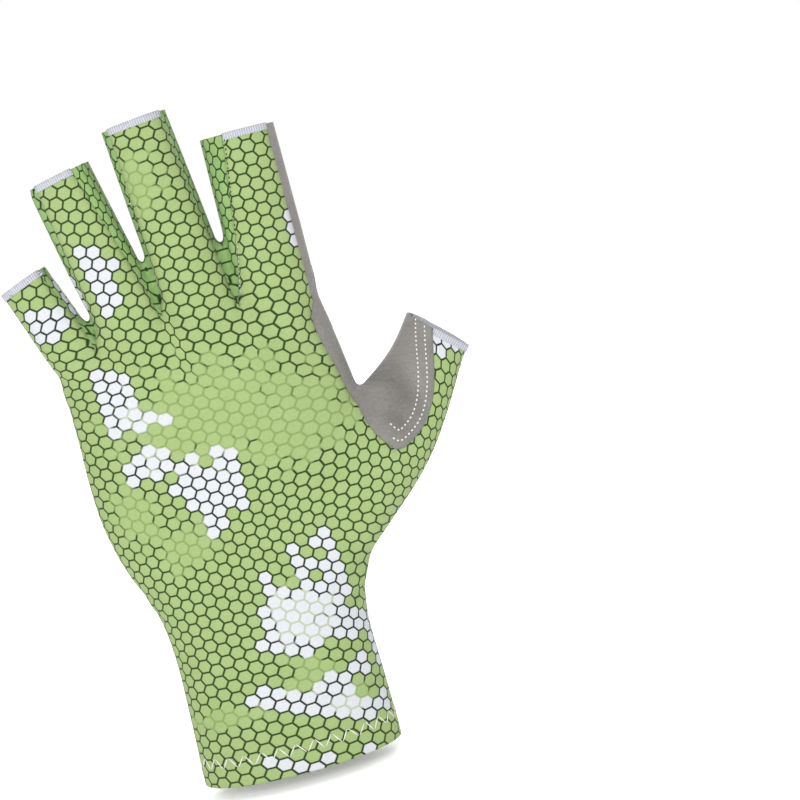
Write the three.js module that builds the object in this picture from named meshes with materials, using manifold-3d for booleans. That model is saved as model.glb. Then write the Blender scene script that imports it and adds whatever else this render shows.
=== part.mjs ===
// A fingerless fishing glove for the left hand, in stretch cloth with suede grip panels.
// Millimetres. The origin is the middle of the wrist opening, +Z runs to the fingers,
// the back of the hand faces -Y and the thumb is on the +X side.
import * as THREE from 'three';
import { mergeVertices } from 'three/addons/utils/BufferGeometryUtils.js';
import Module from 'manifold-3d';

const wasm = await Module();
wasm.setup();

// Cuff and hand
const cuffWidth = 66;
const cuffDepth = 43;
const handWidth = 90;
const handDepth = 28;
const palmLength = 156;

// Fingers, from the root between the knuckles to the open mouth.
// acrossShare is a share of half the hand's width and upShare a share of the palm's length.
const little = {
  name: 'little', length: 25.6, lean: 21, rootWidth: 18, mouthWidth: 16.8, depth: 15.5,
  acrossShare: -0.844, upShare: 0.949,
};
const ring = {
  name: 'ring', length: 46.5, lean: 12.1, rootWidth: 22.8, mouthWidth: 21.6, depth: 18,
  acrossShare: -0.4, upShare: 1,
};
const middle = {
  name: 'middle', length: 55.8, lean: 6.1, rootWidth: 24, mouthWidth: 21.6, depth: 18.8,
  acrossShare: 0.129, upShare: 1.006,
};
const index = {
  name: 'index', length: 44.2, lean: 0, rootWidth: 25, mouthWidth: 24.2, depth: 19.2,
  acrossShare: 0.689, upShare: 1.006,
};
const fingers = [little, ring, middle, index];

// Thumb, from its root in the palm to the mouth. It leans the other way.
const thumb = {
  name: 'thumb', length: 73, lean: -43, rootWidth: 34, mouthWidth: 22.8, depth: 21,
  acrossShare: 0.611, upShare: 0.449,
};

// Cloth, seams and the suede laid over it
const wall = 1.1;
const hemHeight = 9;
const hemFold = 0.6;
const seamGap = 0.3;
const patchGap = 0.3;
const patchThickness = 0.9;
const stripHeight = 1.9;
const fourchetteWidth = 12;
const webStripWidth = 11;
const gripSideEdge = 1.5;
const padSideEdge = 2;

// Pull tab
const tabWidth = 22.5;
const tabEndWidth = 17;
const tabHeight = 29;
const tabDrop = 4.5;
const tabThickness = 1.2;
const tabOffset = 7;
const tabEndOffset = 1.5;
const tabCorner = 3;

// How the relaxed hand leaves its flat plane, towards the palm
const fingerCurl = 7.5;
const thumbDrop = 12;
const knuckleArch = 4;

// Sides of the rings that the sleeves are made of, and points of the curved outlines
const handSides = 32;
const fingerSides = 18;
const thumbSides = 22;
const gripPoints = 70;
const padPoints = 30;
const webPoints = 36;

// How far cutting blocks run past what they cut
const throughAll = 120;
const pastOpening = 6;
const clearOfDigit = 1.2;
const pastDigit = 4;

// How square the fingers' and the thumb's rings are: 2 is an ellipse
const fingerExponent = 2.3;
const thumbExponent = 2.2;

// Rings of the hand from the hem up. up is a share of the palm's length, left and right are
// shares of the half width, deep of the depth, and cuff tells how far a ring takes the
// cuff's width and depth and not the hand's.
const handRings = [
  { up: 0, left: 0.985, right: 1, deep: 1, cuff: 1, square: 2.1 },
  { up: 0.058, left: 0.98, right: 1.005, deep: 0.99, cuff: 1, square: 2.1 },
  { up: 0.13, left: 0.965, right: 1, deep: 0.97, cuff: 1, square: 2.1 },
  { up: 0.24, left: 0.945, right: 0.98, deep: 0.94, cuff: 1, square: 2.15 },
  { up: 0.32, left: 0.955, right: 1.02, deep: 0.93, cuff: 1, square: 2.2 },
  { up: 0.37, left: 0.93, right: 1.06, deep: 0.96, cuff: 0.8, square: 2.2 },
  { up: 0.42, left: 0.925, right: 1.08, deep: 1.02, cuff: 0.5, square: 2.3 },
  { up: 0.5, left: 0.907, right: 1.08, deep: 1.2, cuff: 0, square: 2.4 },
  { up: 0.59, left: 0.967, right: 1.1, deep: 1.15, cuff: 0, square: 2.45 },
  { up: 0.69, left: 0.975, right: 1.08, deep: 1.08, cuff: 0, square: 2.5 },
  { up: 0.76, left: 0.965, right: 1.04, deep: 1.04, cuff: 0, square: 2.5 },
  { up: 0.83, left: 0.97, right: 1.01, deep: 1, cuff: 0, square: 2.5 },
  { up: 0.89, left: 0.988, right: 0.975, deep: 0.95, cuff: 0, square: 2.4 },
  { up: 0.94, left: 0.96, right: 0.955, deep: 0.86, cuff: 0, square: 2.3 },
  { up: 0.975, left: 0.78, right: 0.92, deep: 0.66, cuff: 0, square: 2.2 },
  { up: 1, left: 0.5, right: 0.78, deep: 0.42, cuff: 0, square: 2.1 },
  { up: 1.012, left: 0.25, right: 0.6, deep: 0.2, cuff: 0, square: 2 },
];

// Rings of a finger. along is a share of its length, sunk a share of its root width that
// the ring lies below that, wide a share of the width there and deep of its depth.
const fingerRings = [
  { along: 0, sunk: 1.1, wide: 0.7, deep: 1.1 },
  { along: 0, sunk: 0.55, wide: 0.92, deep: 1.24 },
  { along: 0, sunk: 0.12, wide: 0.99, deep: 1.17 },
  { along: 0.2, sunk: 0, wide: 1, deep: 1.09 },
  { along: 0.45, sunk: 0, wide: 1, deep: 1.04 },
  { along: 0.72, sunk: 0, wide: 1, deep: 1.01 },
  { along: 1, sunk: 0, wide: 1, deep: 1 },
];

// Rings of the thumb. aside moves a ring away from the fingers by a share of the mouth's
// width, ball is the share of the root's width that the ring takes and not the mouth's.
const thumbRings = [
  { along: -0.15, aside: -0.13, ball: 0.2, wide: 1, deep: 1 },
  { along: 0, aside: -0.09, ball: 1, wide: 1, deep: 1.25 },
  { along: 0.18, aside: -0.04, ball: 1, wide: 1, deep: 1.42 },
  { along: 0.34, aside: 0, ball: 1, wide: 1.02, deep: 1.44 },
  { along: 0.48, aside: 0.04, ball: 1, wide: 0.99, deep: 1.38 },
  { along: 0.6, aside: 0.07, ball: 0.7, wide: 1, deep: 1.28 },
  { along: 0.7, aside: 0.09, ball: 0.4, wide: 1, deep: 1.19 },
  { along: 0.8, aside: 0.092, ball: 0.15, wide: 1, deep: 1.12 },
  { along: 0.92, aside: 0.045, ball: 0, wide: 0.98, deep: 1.03 },
  { along: 1, aside: 0, ball: 0, wide: 1, deep: 1 },
];

// Outlines on the hand, seen along Y. across is a share of half the hand's width and up a
// share of the palm's length.
const gripOutline = [
  { across: -1.3, up: 0.885 }, { across: -0.78, up: 0.895 }, { across: -0.53, up: 0.923 },
  { across: -0.2, up: 0.962 }, { across: -0.155, up: 1.01 }, { across: 0.35, up: 1.06 },
  { across: 0.72, up: 1.06 }, { across: 1.3, up: 0.96 }, { across: 1.3, up: 0.86 },
  { across: 0.79, up: 0.846 }, { across: 0.667, up: 0.814 }, { across: 0.53, up: 0.819 },
  { across: 0.396, up: 0.838 }, { across: 0.27, up: 0.846 }, { across: 0.144, up: 0.833 },
  { across: 0.013, up: 0.808 }, { across: -0.08, up: 0.801 }, { across: -0.31, up: 0.814 },
  { across: -0.456, up: 0.808 }, { across: -0.556, up: 0.776 }, { across: -0.593, up: 0.673 },
  { across: -0.644, up: 0.59 }, { across: -0.616, up: 0.56 }, { across: -0.42, up: 0.532 },
  { across: -0.267, up: 0.503 }, { across: -0.213, up: 0.466 }, { across: -0.222, up: 0.423 },
  { across: -0.298, up: 0.385 }, { across: -0.467, up: 0.353 }, { across: -0.636, up: 0.336 },
  { across: -0.793, up: 0.316 }, { across: -1.3, up: 0.29 },
];
const thumbPadOutline = [
  { across: 1.044, up: 0.68 }, { across: 1.2, up: 0.635 }, { across: 1.2, up: 0.564 },
  { across: 1.05, up: 0.46 }, { across: 0.889, up: 0.4 }, { across: 0.667, up: 0.376 },
  { across: 0.48, up: 0.4 }, { across: 0.31, up: 0.45 }, { across: 0.284, up: 0.506 },
  { across: 0.38, up: 0.555 }, { across: 0.6, up: 0.64 }, { across: 0.82, up: 0.682 },
];
const webOutline = [
  { across: 0.9, up: 0.9 }, { across: 0.97, up: 0.76 }, { across: 1.03, up: 0.69 },
  { across: 1.075, up: 0.645 }, { across: 1.17, up: 0.6 }, { across: 1.245, up: 0.583 },
  { across: 1.36, up: 0.594 }, { across: 1.5, up: 0.628 }, { across: 1.6, up: 0.69 },
  { across: 1.685, up: 0.8 }, { across: 1.8, up: 0.93 }, { across: 1.3, up: 1 },
];

const halfHand = handWidth / 2;
const halfCuff = cuffWidth / 2;
const aboveAll = palmLength * 2;
const degree = Math.PI / 180;

const direction = (lean) => ({ x: -Math.sin(lean * degree), z: Math.cos(lean * degree) });

for (const digit of [...fingers, thumb]) {
  digit.root = { x: digit.acrossShare * halfHand, z: digit.upShare * palmLength };
  digit.way = direction(digit.lean);
}

// The point that lies along a finger or the thumb, and aside of its middle line
function onDigit(digit, along, aside) {
  return {
    x: digit.root.x + digit.way.x * along + digit.way.z * aside,
    z: digit.root.z + digit.way.z * along - digit.way.x * aside,
  };
}

// A closed three.js geometry as a solid that can be joined and cut
function solid(geometry) {
  geometry.deleteAttribute('normal');
  geometry.deleteAttribute('uv');
  const merged = mergeVertices(geometry, 1e-4);
  return new wasm.Manifold(new wasm.Mesh({
    numProp: 3,
    vertProperties: new Float32Array(merged.attributes.position.array),
    triVerts: new Uint32Array(merged.index.array),
  }));
}

// A closed sleeve: a cylinder whose rings take the place, width and depth of a list
function sleeve(rings, sides) {
  const geometry = new THREE.CylinderGeometry(1, 1, rings.length - 1, sides, rings.length - 1);
  const position = geometry.attributes.position;
  for (let i = 0; i < position.count; i += 1) {
    const ring = rings[Math.round(position.getY(i) + (rings.length - 1) / 2)];
    const power = 2 / ring.square;
    const wide = Math.sign(position.getX(i)) * Math.abs(position.getX(i)) ** power;
    const deep = -Math.sign(position.getZ(i)) * Math.abs(position.getZ(i)) ** power;
    const aside = wide < 0 ? wide * ring.left : wide * ring.right;
    position.setXYZ(
      i,
      ring.x + ring.way.z * aside,
      deep * ring.deep,
      ring.z - ring.way.x * aside,
    );
  }
  return solid(geometry);
}

// The hand's sleeve, grown outwards. below tells how far it goes on past the hem.
function handSleeve(grow, below) {
  const up = { x: 0, z: 1 };
  const rings = handRings.map((row) => {
    const halfWidth = row.cuff * halfCuff + (1 - row.cuff) * halfHand;
    const halfDepth = (row.cuff * cuffDepth + (1 - row.cuff) * handDepth) / 2;
    return {
      x: 0,
      z: row.up * palmLength + (row.up > 1 ? grow : 0),
      way: up,
      left: row.left * halfWidth + grow,
      right: row.right * halfWidth + grow,
      deep: row.deep * halfDepth + grow,
      square: row.square,
    };
  });
  if (below > 0) {
    rings.unshift({ ...rings[0], z: -below });
  }
  return sleeve(rings, handSides);
}

// One finger's sleeve. past tells how far it goes on past the mouth.
function fingerSleeve(finger, grow, past) {
  const rings = fingerRings.map((row) => {
    const width = finger.rootWidth + (finger.mouthWidth - finger.rootWidth) * row.along;
    const place = onDigit(finger, row.along * finger.length - row.sunk * finger.rootWidth, 0);
    return {
      ...place,
      way: finger.way,
      left: row.wide * width / 2 + grow,
      right: row.wide * width / 2 + grow,
      deep: row.deep * finger.depth / 2 + grow,
      square: fingerExponent,
    };
  });
  if (past > 0) {
    const place = onDigit(finger, finger.length + past, 0);
    rings.push({ ...rings[rings.length - 1], ...place });
  }
  return sleeve(rings, fingerSides);
}

function thumbSleeve(grow, past) {
  const rings = thumbRings.map((row) => {
    const place = onDigit(thumb, row.along * thumb.length, row.aside * thumb.mouthWidth);
    const width = row.ball * thumb.rootWidth + (1 - row.ball) * thumb.mouthWidth;
    return {
      ...place,
      way: thumb.way,
      left: row.wide * width / 2 + grow,
      right: row.wide * width / 2 + grow,
      deep: row.deep * thumb.depth / 2 + grow,
      square: thumbExponent,
    };
  });
  if (past > 0) {
    const place = onDigit(thumb, thumb.length + past, 0);
    rings.push({ ...rings[rings.length - 1], ...place });
  }
  return sleeve(rings, thumbSides);
}

// The whole glove's outer form, grown outwards or, with less than 0, inwards
function gloveForm(grow, past, below) {
  let form = handSleeve(grow, below).add(thumbSleeve(grow, past));
  for (const finger of fingers) {
    form = form.add(fingerSleeve(finger, grow, past));
  }
  return form;
}

// An outline in X and Z, as a block from one Y to another
const acrossBasis = new THREE.Matrix4().makeBasis(
  new THREE.Vector3(1, 0, 0),
  new THREE.Vector3(0, 0, 1),
  new THREE.Vector3(0, -1, 0),
);
function blockAlongY(points, from, to) {
  const shape = new THREE.Shape(points.map((p) => new THREE.Vector2(p.x, p.z)));
  const geometry = new THREE.ExtrudeGeometry(shape, { depth: to - from, bevelEnabled: false });
  geometry.applyMatrix4(acrossBasis);
  geometry.translate(0, to, 0);
  return solid(geometry);
}

// An outline in Y and Z, as a block from one X to another
const alongBasis = new THREE.Matrix4().makeBasis(
  new THREE.Vector3(0, 1, 0),
  new THREE.Vector3(0, 0, 1),
  new THREE.Vector3(1, 0, 0),
);
function blockAlongX(points, from, to) {
  const shape = new THREE.Shape(points.map((p) => new THREE.Vector2(p.y, p.z)));
  const geometry = new THREE.ExtrudeGeometry(shape, { depth: to - from, bevelEnabled: false });
  geometry.applyMatrix4(alongBasis);
  geometry.translate(from, 0, 0);
  return solid(geometry);
}

const onHand = (row) => ({ x: row.across * halfHand, z: row.up * palmLength });

// A smooth closed line through an outline's points
function rounded(rows, steps) {
  const points = rows.map(onHand).map((p) => new THREE.Vector3(p.x, 0, p.z));
  const curve = new THREE.CatmullRomCurve3(points, true, 'centripetal');
  return curve.getPoints(steps).slice(0, -1).map((p) => ({ x: p.x, z: p.z }));
}

// A closed line moved outwards, square to itself
function widened(points, distance) {
  const area = points.reduce((sum, p, i) => {
    const q = points[(i + 1) % points.length];
    return sum + p.x * q.z - q.x * p.z;
  }, 0);
  const side = Math.sign(area) * distance;
  return points.map((p, i) => {
    const before = points[(i + points.length - 1) % points.length];
    const after = points[(i + 1) % points.length];
    const run = Math.hypot(after.x - before.x, after.z - before.z);
    return {
      x: p.x + side * (after.z - before.z) / run,
      z: p.z - side * (after.x - before.x) / run,
    };
  });
}

// The last stretch before a mouth, where the pale strip is, grown by the seam's gap or not
function mouthSpace(digit, grow) {
  const from = digit.length - stripHeight - grow;
  const to = digit.length + pastOpening;
  const side = digit.mouthWidth / 2 + pastDigit;
  const corners = [[from, -side], [from, side], [to, side], [to, -side]];
  const points = corners.map(([along, aside]) => onDigit(digit, along, aside));
  return blockAlongY(points, -throughAll, throughAll);
}

// The space of the strip between two fingers: it takes the facing half of each finger, as
// high as the strip is wide, and narrows below the crotch
function fourchetteSpace(left, right, grow) {
  const low = -left.rootWidth / 2;
  const leftTop = left.length + pastOpening;
  const rightTop = right.length + pastOpening;
  const points = [
    onDigit(left, low, -grow),
    onDigit(right, low, grow),
    onDigit(right, rightTop, grow),
    onDigit(right, rightTop, -right.mouthWidth / 2 - clearOfDigit),
    onDigit(left, leftTop, left.mouthWidth / 2 + clearOfDigit),
    onDigit(left, leftTop, -grow),
  ];
  const half = fourchetteWidth / 2 + grow;
  const crotch = Math.min(left.root.z, right.root.z);
  const start = crotch - fourchetteWidth * 0.4 - grow;
  const profile = [
    { y: -half, z: crotch + fourchetteWidth },
    { y: -half / 2, z: start },
    { y: half / 2, z: start },
    { y: half, z: crotch + fourchetteWidth },
    { y: half, z: aboveAll },
    { y: -half, z: aboveAll },
  ];
  return blockAlongY(points, -throughAll, throughAll)
    .intersect(blockAlongX(profile, -throughAll, throughAll));
}

// The space of the suede between index finger and thumb: a strip up the finger's side,
// and a patch on the back and the inner side of the thumb
function webSpace(grow) {
  const half = webStripWidth / 2 + grow;
  const low = -handDepth;
  const strip = [
    onDigit(index, low, -grow),
    onDigit(index, low, halfHand),
    onDigit(index, index.length + pastOpening, halfHand),
    onDigit(index, index.length + pastOpening, -grow),
  ];
  const patch = widened(rounded(webOutline, webPoints), grow);
  return blockAlongY(strip, -half, half)
    .add(blockAlongY(patch, -throughAll, half * 0.8));
}

// All that lies over a height
function above(height, yFrom, yTo) {
  const corners = [
    { x: -handWidth * 2, z: height },
    { x: handWidth * 2, z: height },
    { x: handWidth * 2, z: aboveAll },
    { x: -handWidth * 2, z: aboveAll },
  ];
  return blockAlongY(corners, yFrom, yTo);
}

// The cloth: one thin wall all round, twice folded at the cuff's hem
const hollow = gloveForm(-wall, pastOpening, pastOpening)
  .intersect(above(hemHeight, -throughAll, throughAll))
  .add(handSleeve(-wall - hemFold, pastOpening));
const shell = gloveForm(0, 0, 0).subtract(hollow);

// What is sewn in between the two halves, with the seams' gaps
const gaps = [[little, ring], [ring, middle], [middle, index]];
let sewnIn = webSpace(seamGap);
for (const [left, right] of gaps) {
  sewnIn = sewnIn.add(fourchetteSpace(left, right, seamGap));
}
const backCloth = shell
  .intersect(above(-pastOpening, -throughAll, -seamGap / 2))
  .subtract(sewnIn);
const palmCloth = shell
  .intersect(above(-pastOpening, seamGap / 2, throughAll))
  .subtract(sewnIn);

// Pale strips at the mouths. The suede on the palm side of index and middle finger has none.
let backPanel = backCloth.subtract(mouthSpace(thumb, seamGap));
let palmPanel = palmCloth.subtract(mouthSpace(thumb, seamGap));
const strips = [{
  name: 'hem_strip_thumb',
  body: shell.subtract(sewnIn).intersect(mouthSpace(thumb, 0)),
}];
for (const finger of fingers) {
  backPanel = backPanel.subtract(mouthSpace(finger, seamGap));
  strips.push({
    name: `hem_strip_${finger.name}_back`,
    body: backCloth.intersect(mouthSpace(finger, 0)),
  });
}
for (const finger of [little, ring]) {
  palmPanel = palmPanel.subtract(mouthSpace(finger, seamGap));
  strips.push({
    name: `hem_strip_${finger.name}_palm`,
    body: palmCloth.intersect(mouthSpace(finger, 0)),
  });
}

// Suede laid over the palm side of the cloth
const patchForm = gloveForm(patchGap + patchThickness, 0, 0)
  .subtract(gloveForm(patchGap, pastOpening, pastOpening));
const gripFingers = blockAlongY([
  { x: (ring.root.x + middle.root.x) / 2, z: palmLength - clearOfDigit * 2 },
  onDigit(middle, middle.length + pastOpening, -middle.mouthWidth / 2 - clearOfDigit * 2),
  onDigit(index, middle.length + pastOpening, index.rootWidth),
  onDigit(index, -index.rootWidth / 2, index.rootWidth),
], 0, throughAll);
const gripEdge = fourchetteWidth / 2 + seamGap;
const gripSides = blockAlongX([
  { y: gripSideEdge, z: 0 },
  { y: throughAll, z: 0 },
  { y: throughAll, z: aboveAll },
  { y: gripEdge, z: aboveAll },
  { y: gripEdge, z: palmLength + fourchetteWidth },
  { y: gripEdge / 2, z: palmLength - fourchetteWidth / 2 },
], -throughAll, throughAll);
const gripPanel = patchForm
  .intersect(blockAlongY(rounded(gripOutline, gripPoints), 0, throughAll).add(gripFingers))
  .intersect(gripSides);
const padBlock = blockAlongY(rounded(thumbPadOutline, padPoints), padSideEdge, throughAll);
const thumbPad = patchForm.intersect(padBlock);

// The pull tab: a strap with round corners whose lower end hangs free
function tabOutline() {
  const end = tabEndWidth / 2;
  const bend = tabHeight - tabCorner;
  const arm = tabWidth / 2 - tabCorner;
  const corner = new THREE.Path();
  corner.absarc(tabOffset - arm, bend, tabCorner, Math.PI, Math.PI / 2, true);
  corner.absarc(tabOffset + arm, bend, tabCorner, Math.PI / 2, 0, true);
  corner.lineTo(tabOffset + end + tabEndOffset, -tabDrop);
  corner.lineTo(tabOffset - end + tabEndOffset, -tabDrop);
  return corner.getPoints(4).map((p) => ({ x: p.x, z: p.y }));
}
const pullTab = handSleeve(patchGap + tabThickness, tabDrop + pastOpening)
  .subtract(handSleeve(patchGap, tabDrop + pastOpening * 2))
  .intersect(blockAlongY(tabOutline(), 0, throughAll));

// The relaxed hand: every point moves towards the palm by a smooth amount
function towardsPalm(x, z) {
  const tallest = middle.root.z + middle.length;
  const knuckles = palmLength * 0.88;
  const reach = Math.max(0, (z - knuckles) / (tallest - knuckles));
  const across = Math.min(1.2, Math.abs(x) / halfHand);
  const height = THREE.MathUtils.smoothstep(z, palmLength * 0.25, palmLength * 0.85);
  const fromRoot = { x: x - thumb.root.x, z: z - thumb.root.z };
  const along = (fromRoot.x * thumb.way.x + fromRoot.z * thumb.way.z) / thumb.length;
  const aside = fromRoot.x * thumb.way.z - fromRoot.z * thumb.way.x;
  const near = THREE.MathUtils.smoothstep(aside / thumb.mouthWidth, -2.6, -0.2);
  const curl = fingerCurl * reach ** 2;
  const arch = knuckleArch * across ** 2 * height * (1 - near);
  return curl + arch + thumbDrop * Math.max(0, along) ** 2 * near;
}

const colours = { print: 0x8fb45f, suede: 0xa6a3a2, grip: 0xa9a6a5, strip: 0xe4e4ea };

function addPiece(name, body, colour) {
  const mesh = body.getMesh();
  const geometry = new THREE.BufferGeometry();
  const vertices = new Float32Array(mesh.vertProperties);
  for (let i = 0; i < vertices.length; i += 3) {
    vertices[i + 1] += towardsPalm(vertices[i], vertices[i + 2]);
  }
  geometry.setAttribute('position', new THREE.BufferAttribute(vertices, 3));
  geometry.setIndex(new THREE.BufferAttribute(new Uint32Array(mesh.triVerts), 1));
  geometry.computeVertexNormals();
  const material = new THREE.MeshStandardMaterial({ color: colour, roughness: 0.85, metalness: 0 });
  const piece = new THREE.Mesh(geometry, material);
  piece.name = name;
  group.add(piece);
}

const group = new THREE.Group();
addPiece('back_panel', backPanel, colours.print);
addPiece('palm_panel', palmPanel, colours.print);
for (const [left, right] of gaps) {
  const name = `fourchette_${left.name}_${right.name}`;
  addPiece(name, shell.intersect(fourchetteSpace(left, right, 0)), colours.print);
}
addPiece('web_panel', shell.intersect(webSpace(0)), colours.suede);
addPiece('grip_panel', gripPanel, colours.grip);
addPiece('thumb_pad', thumbPad, colours.grip);
addPiece('pull_tab', pullTab, colours.grip);
for (const strip of strips) {
  addPiece(strip.name, strip.body, colours.strip);
}

export default group;
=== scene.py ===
# %% [markdown]
# # A fingerless fishing glove
# The glove is cut from thin stretch cloth with a honeycomb print and sewn from a few panels: a back,
# a palm, three strips between the fingers and a suede web at the thumb. Grey embossed suede is laid
# over the palm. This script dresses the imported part: it loads the fixed frame, models each panel
# inside the space of the node that it stands for, and gives every surface its finish.

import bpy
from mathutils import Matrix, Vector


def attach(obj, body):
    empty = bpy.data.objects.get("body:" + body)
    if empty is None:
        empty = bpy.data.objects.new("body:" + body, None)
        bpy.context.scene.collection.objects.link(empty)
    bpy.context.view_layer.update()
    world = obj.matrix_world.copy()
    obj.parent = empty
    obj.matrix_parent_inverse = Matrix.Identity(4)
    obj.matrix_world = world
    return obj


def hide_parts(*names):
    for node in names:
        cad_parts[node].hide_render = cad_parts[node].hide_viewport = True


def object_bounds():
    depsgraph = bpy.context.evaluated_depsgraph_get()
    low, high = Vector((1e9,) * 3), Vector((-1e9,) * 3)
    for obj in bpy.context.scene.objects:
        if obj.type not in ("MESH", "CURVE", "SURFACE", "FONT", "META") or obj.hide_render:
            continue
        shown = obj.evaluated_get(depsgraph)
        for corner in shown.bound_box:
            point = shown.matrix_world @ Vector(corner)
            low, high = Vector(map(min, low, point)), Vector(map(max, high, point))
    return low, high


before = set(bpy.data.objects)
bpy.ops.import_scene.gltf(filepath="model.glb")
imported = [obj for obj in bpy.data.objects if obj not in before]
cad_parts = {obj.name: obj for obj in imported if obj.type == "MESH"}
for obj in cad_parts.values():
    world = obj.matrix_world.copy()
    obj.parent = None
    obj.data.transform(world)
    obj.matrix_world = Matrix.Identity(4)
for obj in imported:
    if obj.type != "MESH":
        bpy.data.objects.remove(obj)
cad_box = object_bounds()
print("nodes:", len(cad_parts), "box:", [tuple(round(c, 4) for c in corner) for corner in cad_box])

# %% Tools of the script
import math

import bmesh
import bpy
import numpy as np
from mathutils import Matrix, Vector
from mathutils.bvhtree import BVHTree

MM = 0.001

# %% [markdown]
# ## The camera
# The photograph looks at the back of the hand with a long lens, a little from above, and the glove
# leans to the left. So the camera looks along +Y, is raised by a few degrees and rolled, and it aims
# beside the glove, because the glove fills the left half of the frame. The roll belongs to the
# camera, so the glove itself stays upright in its own frame.

# %% Camera
LENS = 110.0
SENSOR = 36.0
FRAME_WIDTH = 256.6
RAISED = math.radians(6)
ROLLED = math.radians(14.6)
AIM = Vector((59.9, 0, 105.1))

view_way = Vector((0, math.cos(RAISED), -math.sin(RAISED)))
upright = Vector((0, math.sin(RAISED), math.cos(RAISED)))
level = Vector((1, 0, 0))
camera_up = upright * math.cos(ROLLED) + level * math.sin(ROLLED)
camera_right = level * math.cos(ROLLED) - upright * math.sin(ROLLED)
distance = FRAME_WIDTH * LENS / SENSOR

camera = bpy.data.objects.new("camera", bpy.data.cameras.new("camera"))
camera.data.lens = LENS
camera.data.sensor_width = SENSOR
camera.data.clip_start = 0.01
camera.data.clip_end = 20
turn = Matrix((camera_right, camera_up, -view_way)).transposed().to_4x4()
camera.matrix_world = Matrix.Translation((AIM - view_way * distance) * MM) @ turn
bpy.context.scene.collection.objects.link(camera)
bpy.context.scene.camera = camera
print("camera stands", round(distance), "mm away")

# %% [markdown]
# ## Sizes of the glove
# These are the real sizes, in millimetres, that the part has too. A digit runs from its root to its
# mouth and leans to the side. The tables hold rings of each sleeve as shares of those sizes, so a
# ring can be moved without touching the rest.

# %% Sizes
CUFF_WIDTH, CUFF_DEPTH = 66.0, 43.0
HAND_WIDTH, HAND_DEPTH = 90.0, 28.0
PALM_LENGTH = 156.0
HALF_HAND = HAND_WIDTH / 2
CLOTH = 0.7
FINGER_EXPONENT, THUMB_EXPONENT = 2.3, 2.2


class Digit:
    """A finger or the thumb; across and up place its root as shares of half a hand and the palm."""

    def __init__(self, name, length, lean, root_width, mouth_width, depth, across, up):
        self.name, self.length, self.depth = name, length, depth
        self.root_width, self.mouth_width = root_width, mouth_width
        self.root = np.array((across * HALF_HAND, up * PALM_LENGTH))
        angle = math.radians(lean)
        self.way = np.array((-math.sin(angle), math.cos(angle)))
        self.aside = np.array((self.way[1], -self.way[0]))

    def point(self, along, aside):
        """The place in X and Z that lies along the digit and aside of its middle line."""
        return self.root + self.way * along + self.aside * aside

    def local(self, spots):
        """How far along and aside each spot lies."""
        away = spots[:, [0, 2]] - self.root
        return away @ self.way, away @ self.aside


LITTLE = Digit("little", 25.6, 21, 18, 16.8, 15.5, -0.844, 0.949)
RING = Digit("ring", 46.5, 12.1, 22.8, 21.6, 18, -0.4, 1)
MIDDLE = Digit("middle", 55.8, 6.1, 24, 21.6, 18.8, 0.129, 1.006)
INDEX = Digit("index", 44.2, 0, 25, 24.2, 19.2, 0.689, 1.006)
THUMB = Digit("thumb", 73, -43, 34, 22.8, 21, 0.611, 0.449)
FINGERS = (LITTLE, RING, MIDDLE, INDEX)
print("tallest mouth:", round(MIDDLE.root[1] + MIDDLE.length, 1), "mm up")

# %% [markdown]
# ## Sleeves
# A glove that is worn is a set of tubes: one round the hand and one round each digit. Each tube is a
# stack of circles pressed to rounded rectangles and bridged. The rings of the tables are blurred
# along the tube, so that no ring shows as a step.

# %% Sleeves
HAND_COLUMNS = ("up", "left", "right", "deep", "cuff", "square")
HAND_RINGS = (
    (0, 0.985, 1, 1, 1, 2.1), (0.058, 0.98, 1.005, 0.99, 1, 2.1), (0.13, 0.965, 1, 0.97, 1, 2.1),
    (0.24, 0.945, 0.98, 0.94, 1, 2.15), (0.32, 0.955, 1.02, 0.93, 1, 2.2),
    (0.37, 0.93, 1.06, 0.96, 0.8, 2.2), (0.42, 0.925, 1.08, 1.02, 0.5, 2.3),
    (0.5, 0.907, 1.08, 1.2, 0, 2.4), (0.59, 0.967, 1.1, 1.15, 0, 2.45),
    (0.69, 0.975, 1.08, 1.08, 0, 2.5), (0.76, 0.965, 1.04, 1.04, 0, 2.5),
    (0.83, 0.97, 1.01, 1, 0, 2.5), (0.89, 0.988, 0.975, 0.95, 0, 2.4),
    (0.94, 0.96, 0.955, 0.86, 0, 2.3), (0.975, 0.78, 0.92, 0.66, 0, 2.2),
    (1, 0.5, 0.78, 0.42, 0, 2.1), (1.012, 0.25, 0.6, 0.2, 0, 2),
)
FINGER_COLUMNS = ("along", "sunk", "wide", "deep")
FINGER_RINGS = (
    (0, 1.1, 0.7, 1.1), (0, 0.55, 0.92, 1.24), (0, 0.12, 0.99, 1.17), (0.2, 0, 1, 1.09),
    (0.45, 0, 1, 1.04), (0.72, 0, 1, 1.01), (1, 0, 1, 1),
)
THUMB_COLUMNS = ("along", "aside", "ball", "wide", "deep")
THUMB_RINGS = (
    (-0.15, -0.13, 0.2, 1, 1), (0, -0.09, 1, 1, 1.25), (0.18, -0.04, 1, 1, 1.42),
    (0.34, 0, 1, 1.02, 1.44), (0.48, 0.04, 1, 0.99, 1.38), (0.6, 0.07, 0.7, 1, 1.28),
    (0.7, 0.09, 0.4, 1, 1.19), (0.8, 0.092, 0.15, 1, 1.12), (0.92, 0.045, 0, 0.98, 1.03),
    (1, 0, 0, 1, 1),
)
RING_STEP = 2.0
RING_SIDES = 64
HAND_BLUR, FINGER_BLUR, THUMB_BLUR = 3.5, 2.5, 4.0
PAST_OPENING = 6.0


def once(elements):
    """Each element once, in the order given, because a set's order differs from run to run."""
    return list(dict.fromkeys(elements))


def columns(names, rows):
    """A table of rows as one array for each named column."""
    return dict(zip(names, np.array(rows, float).T))


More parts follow.
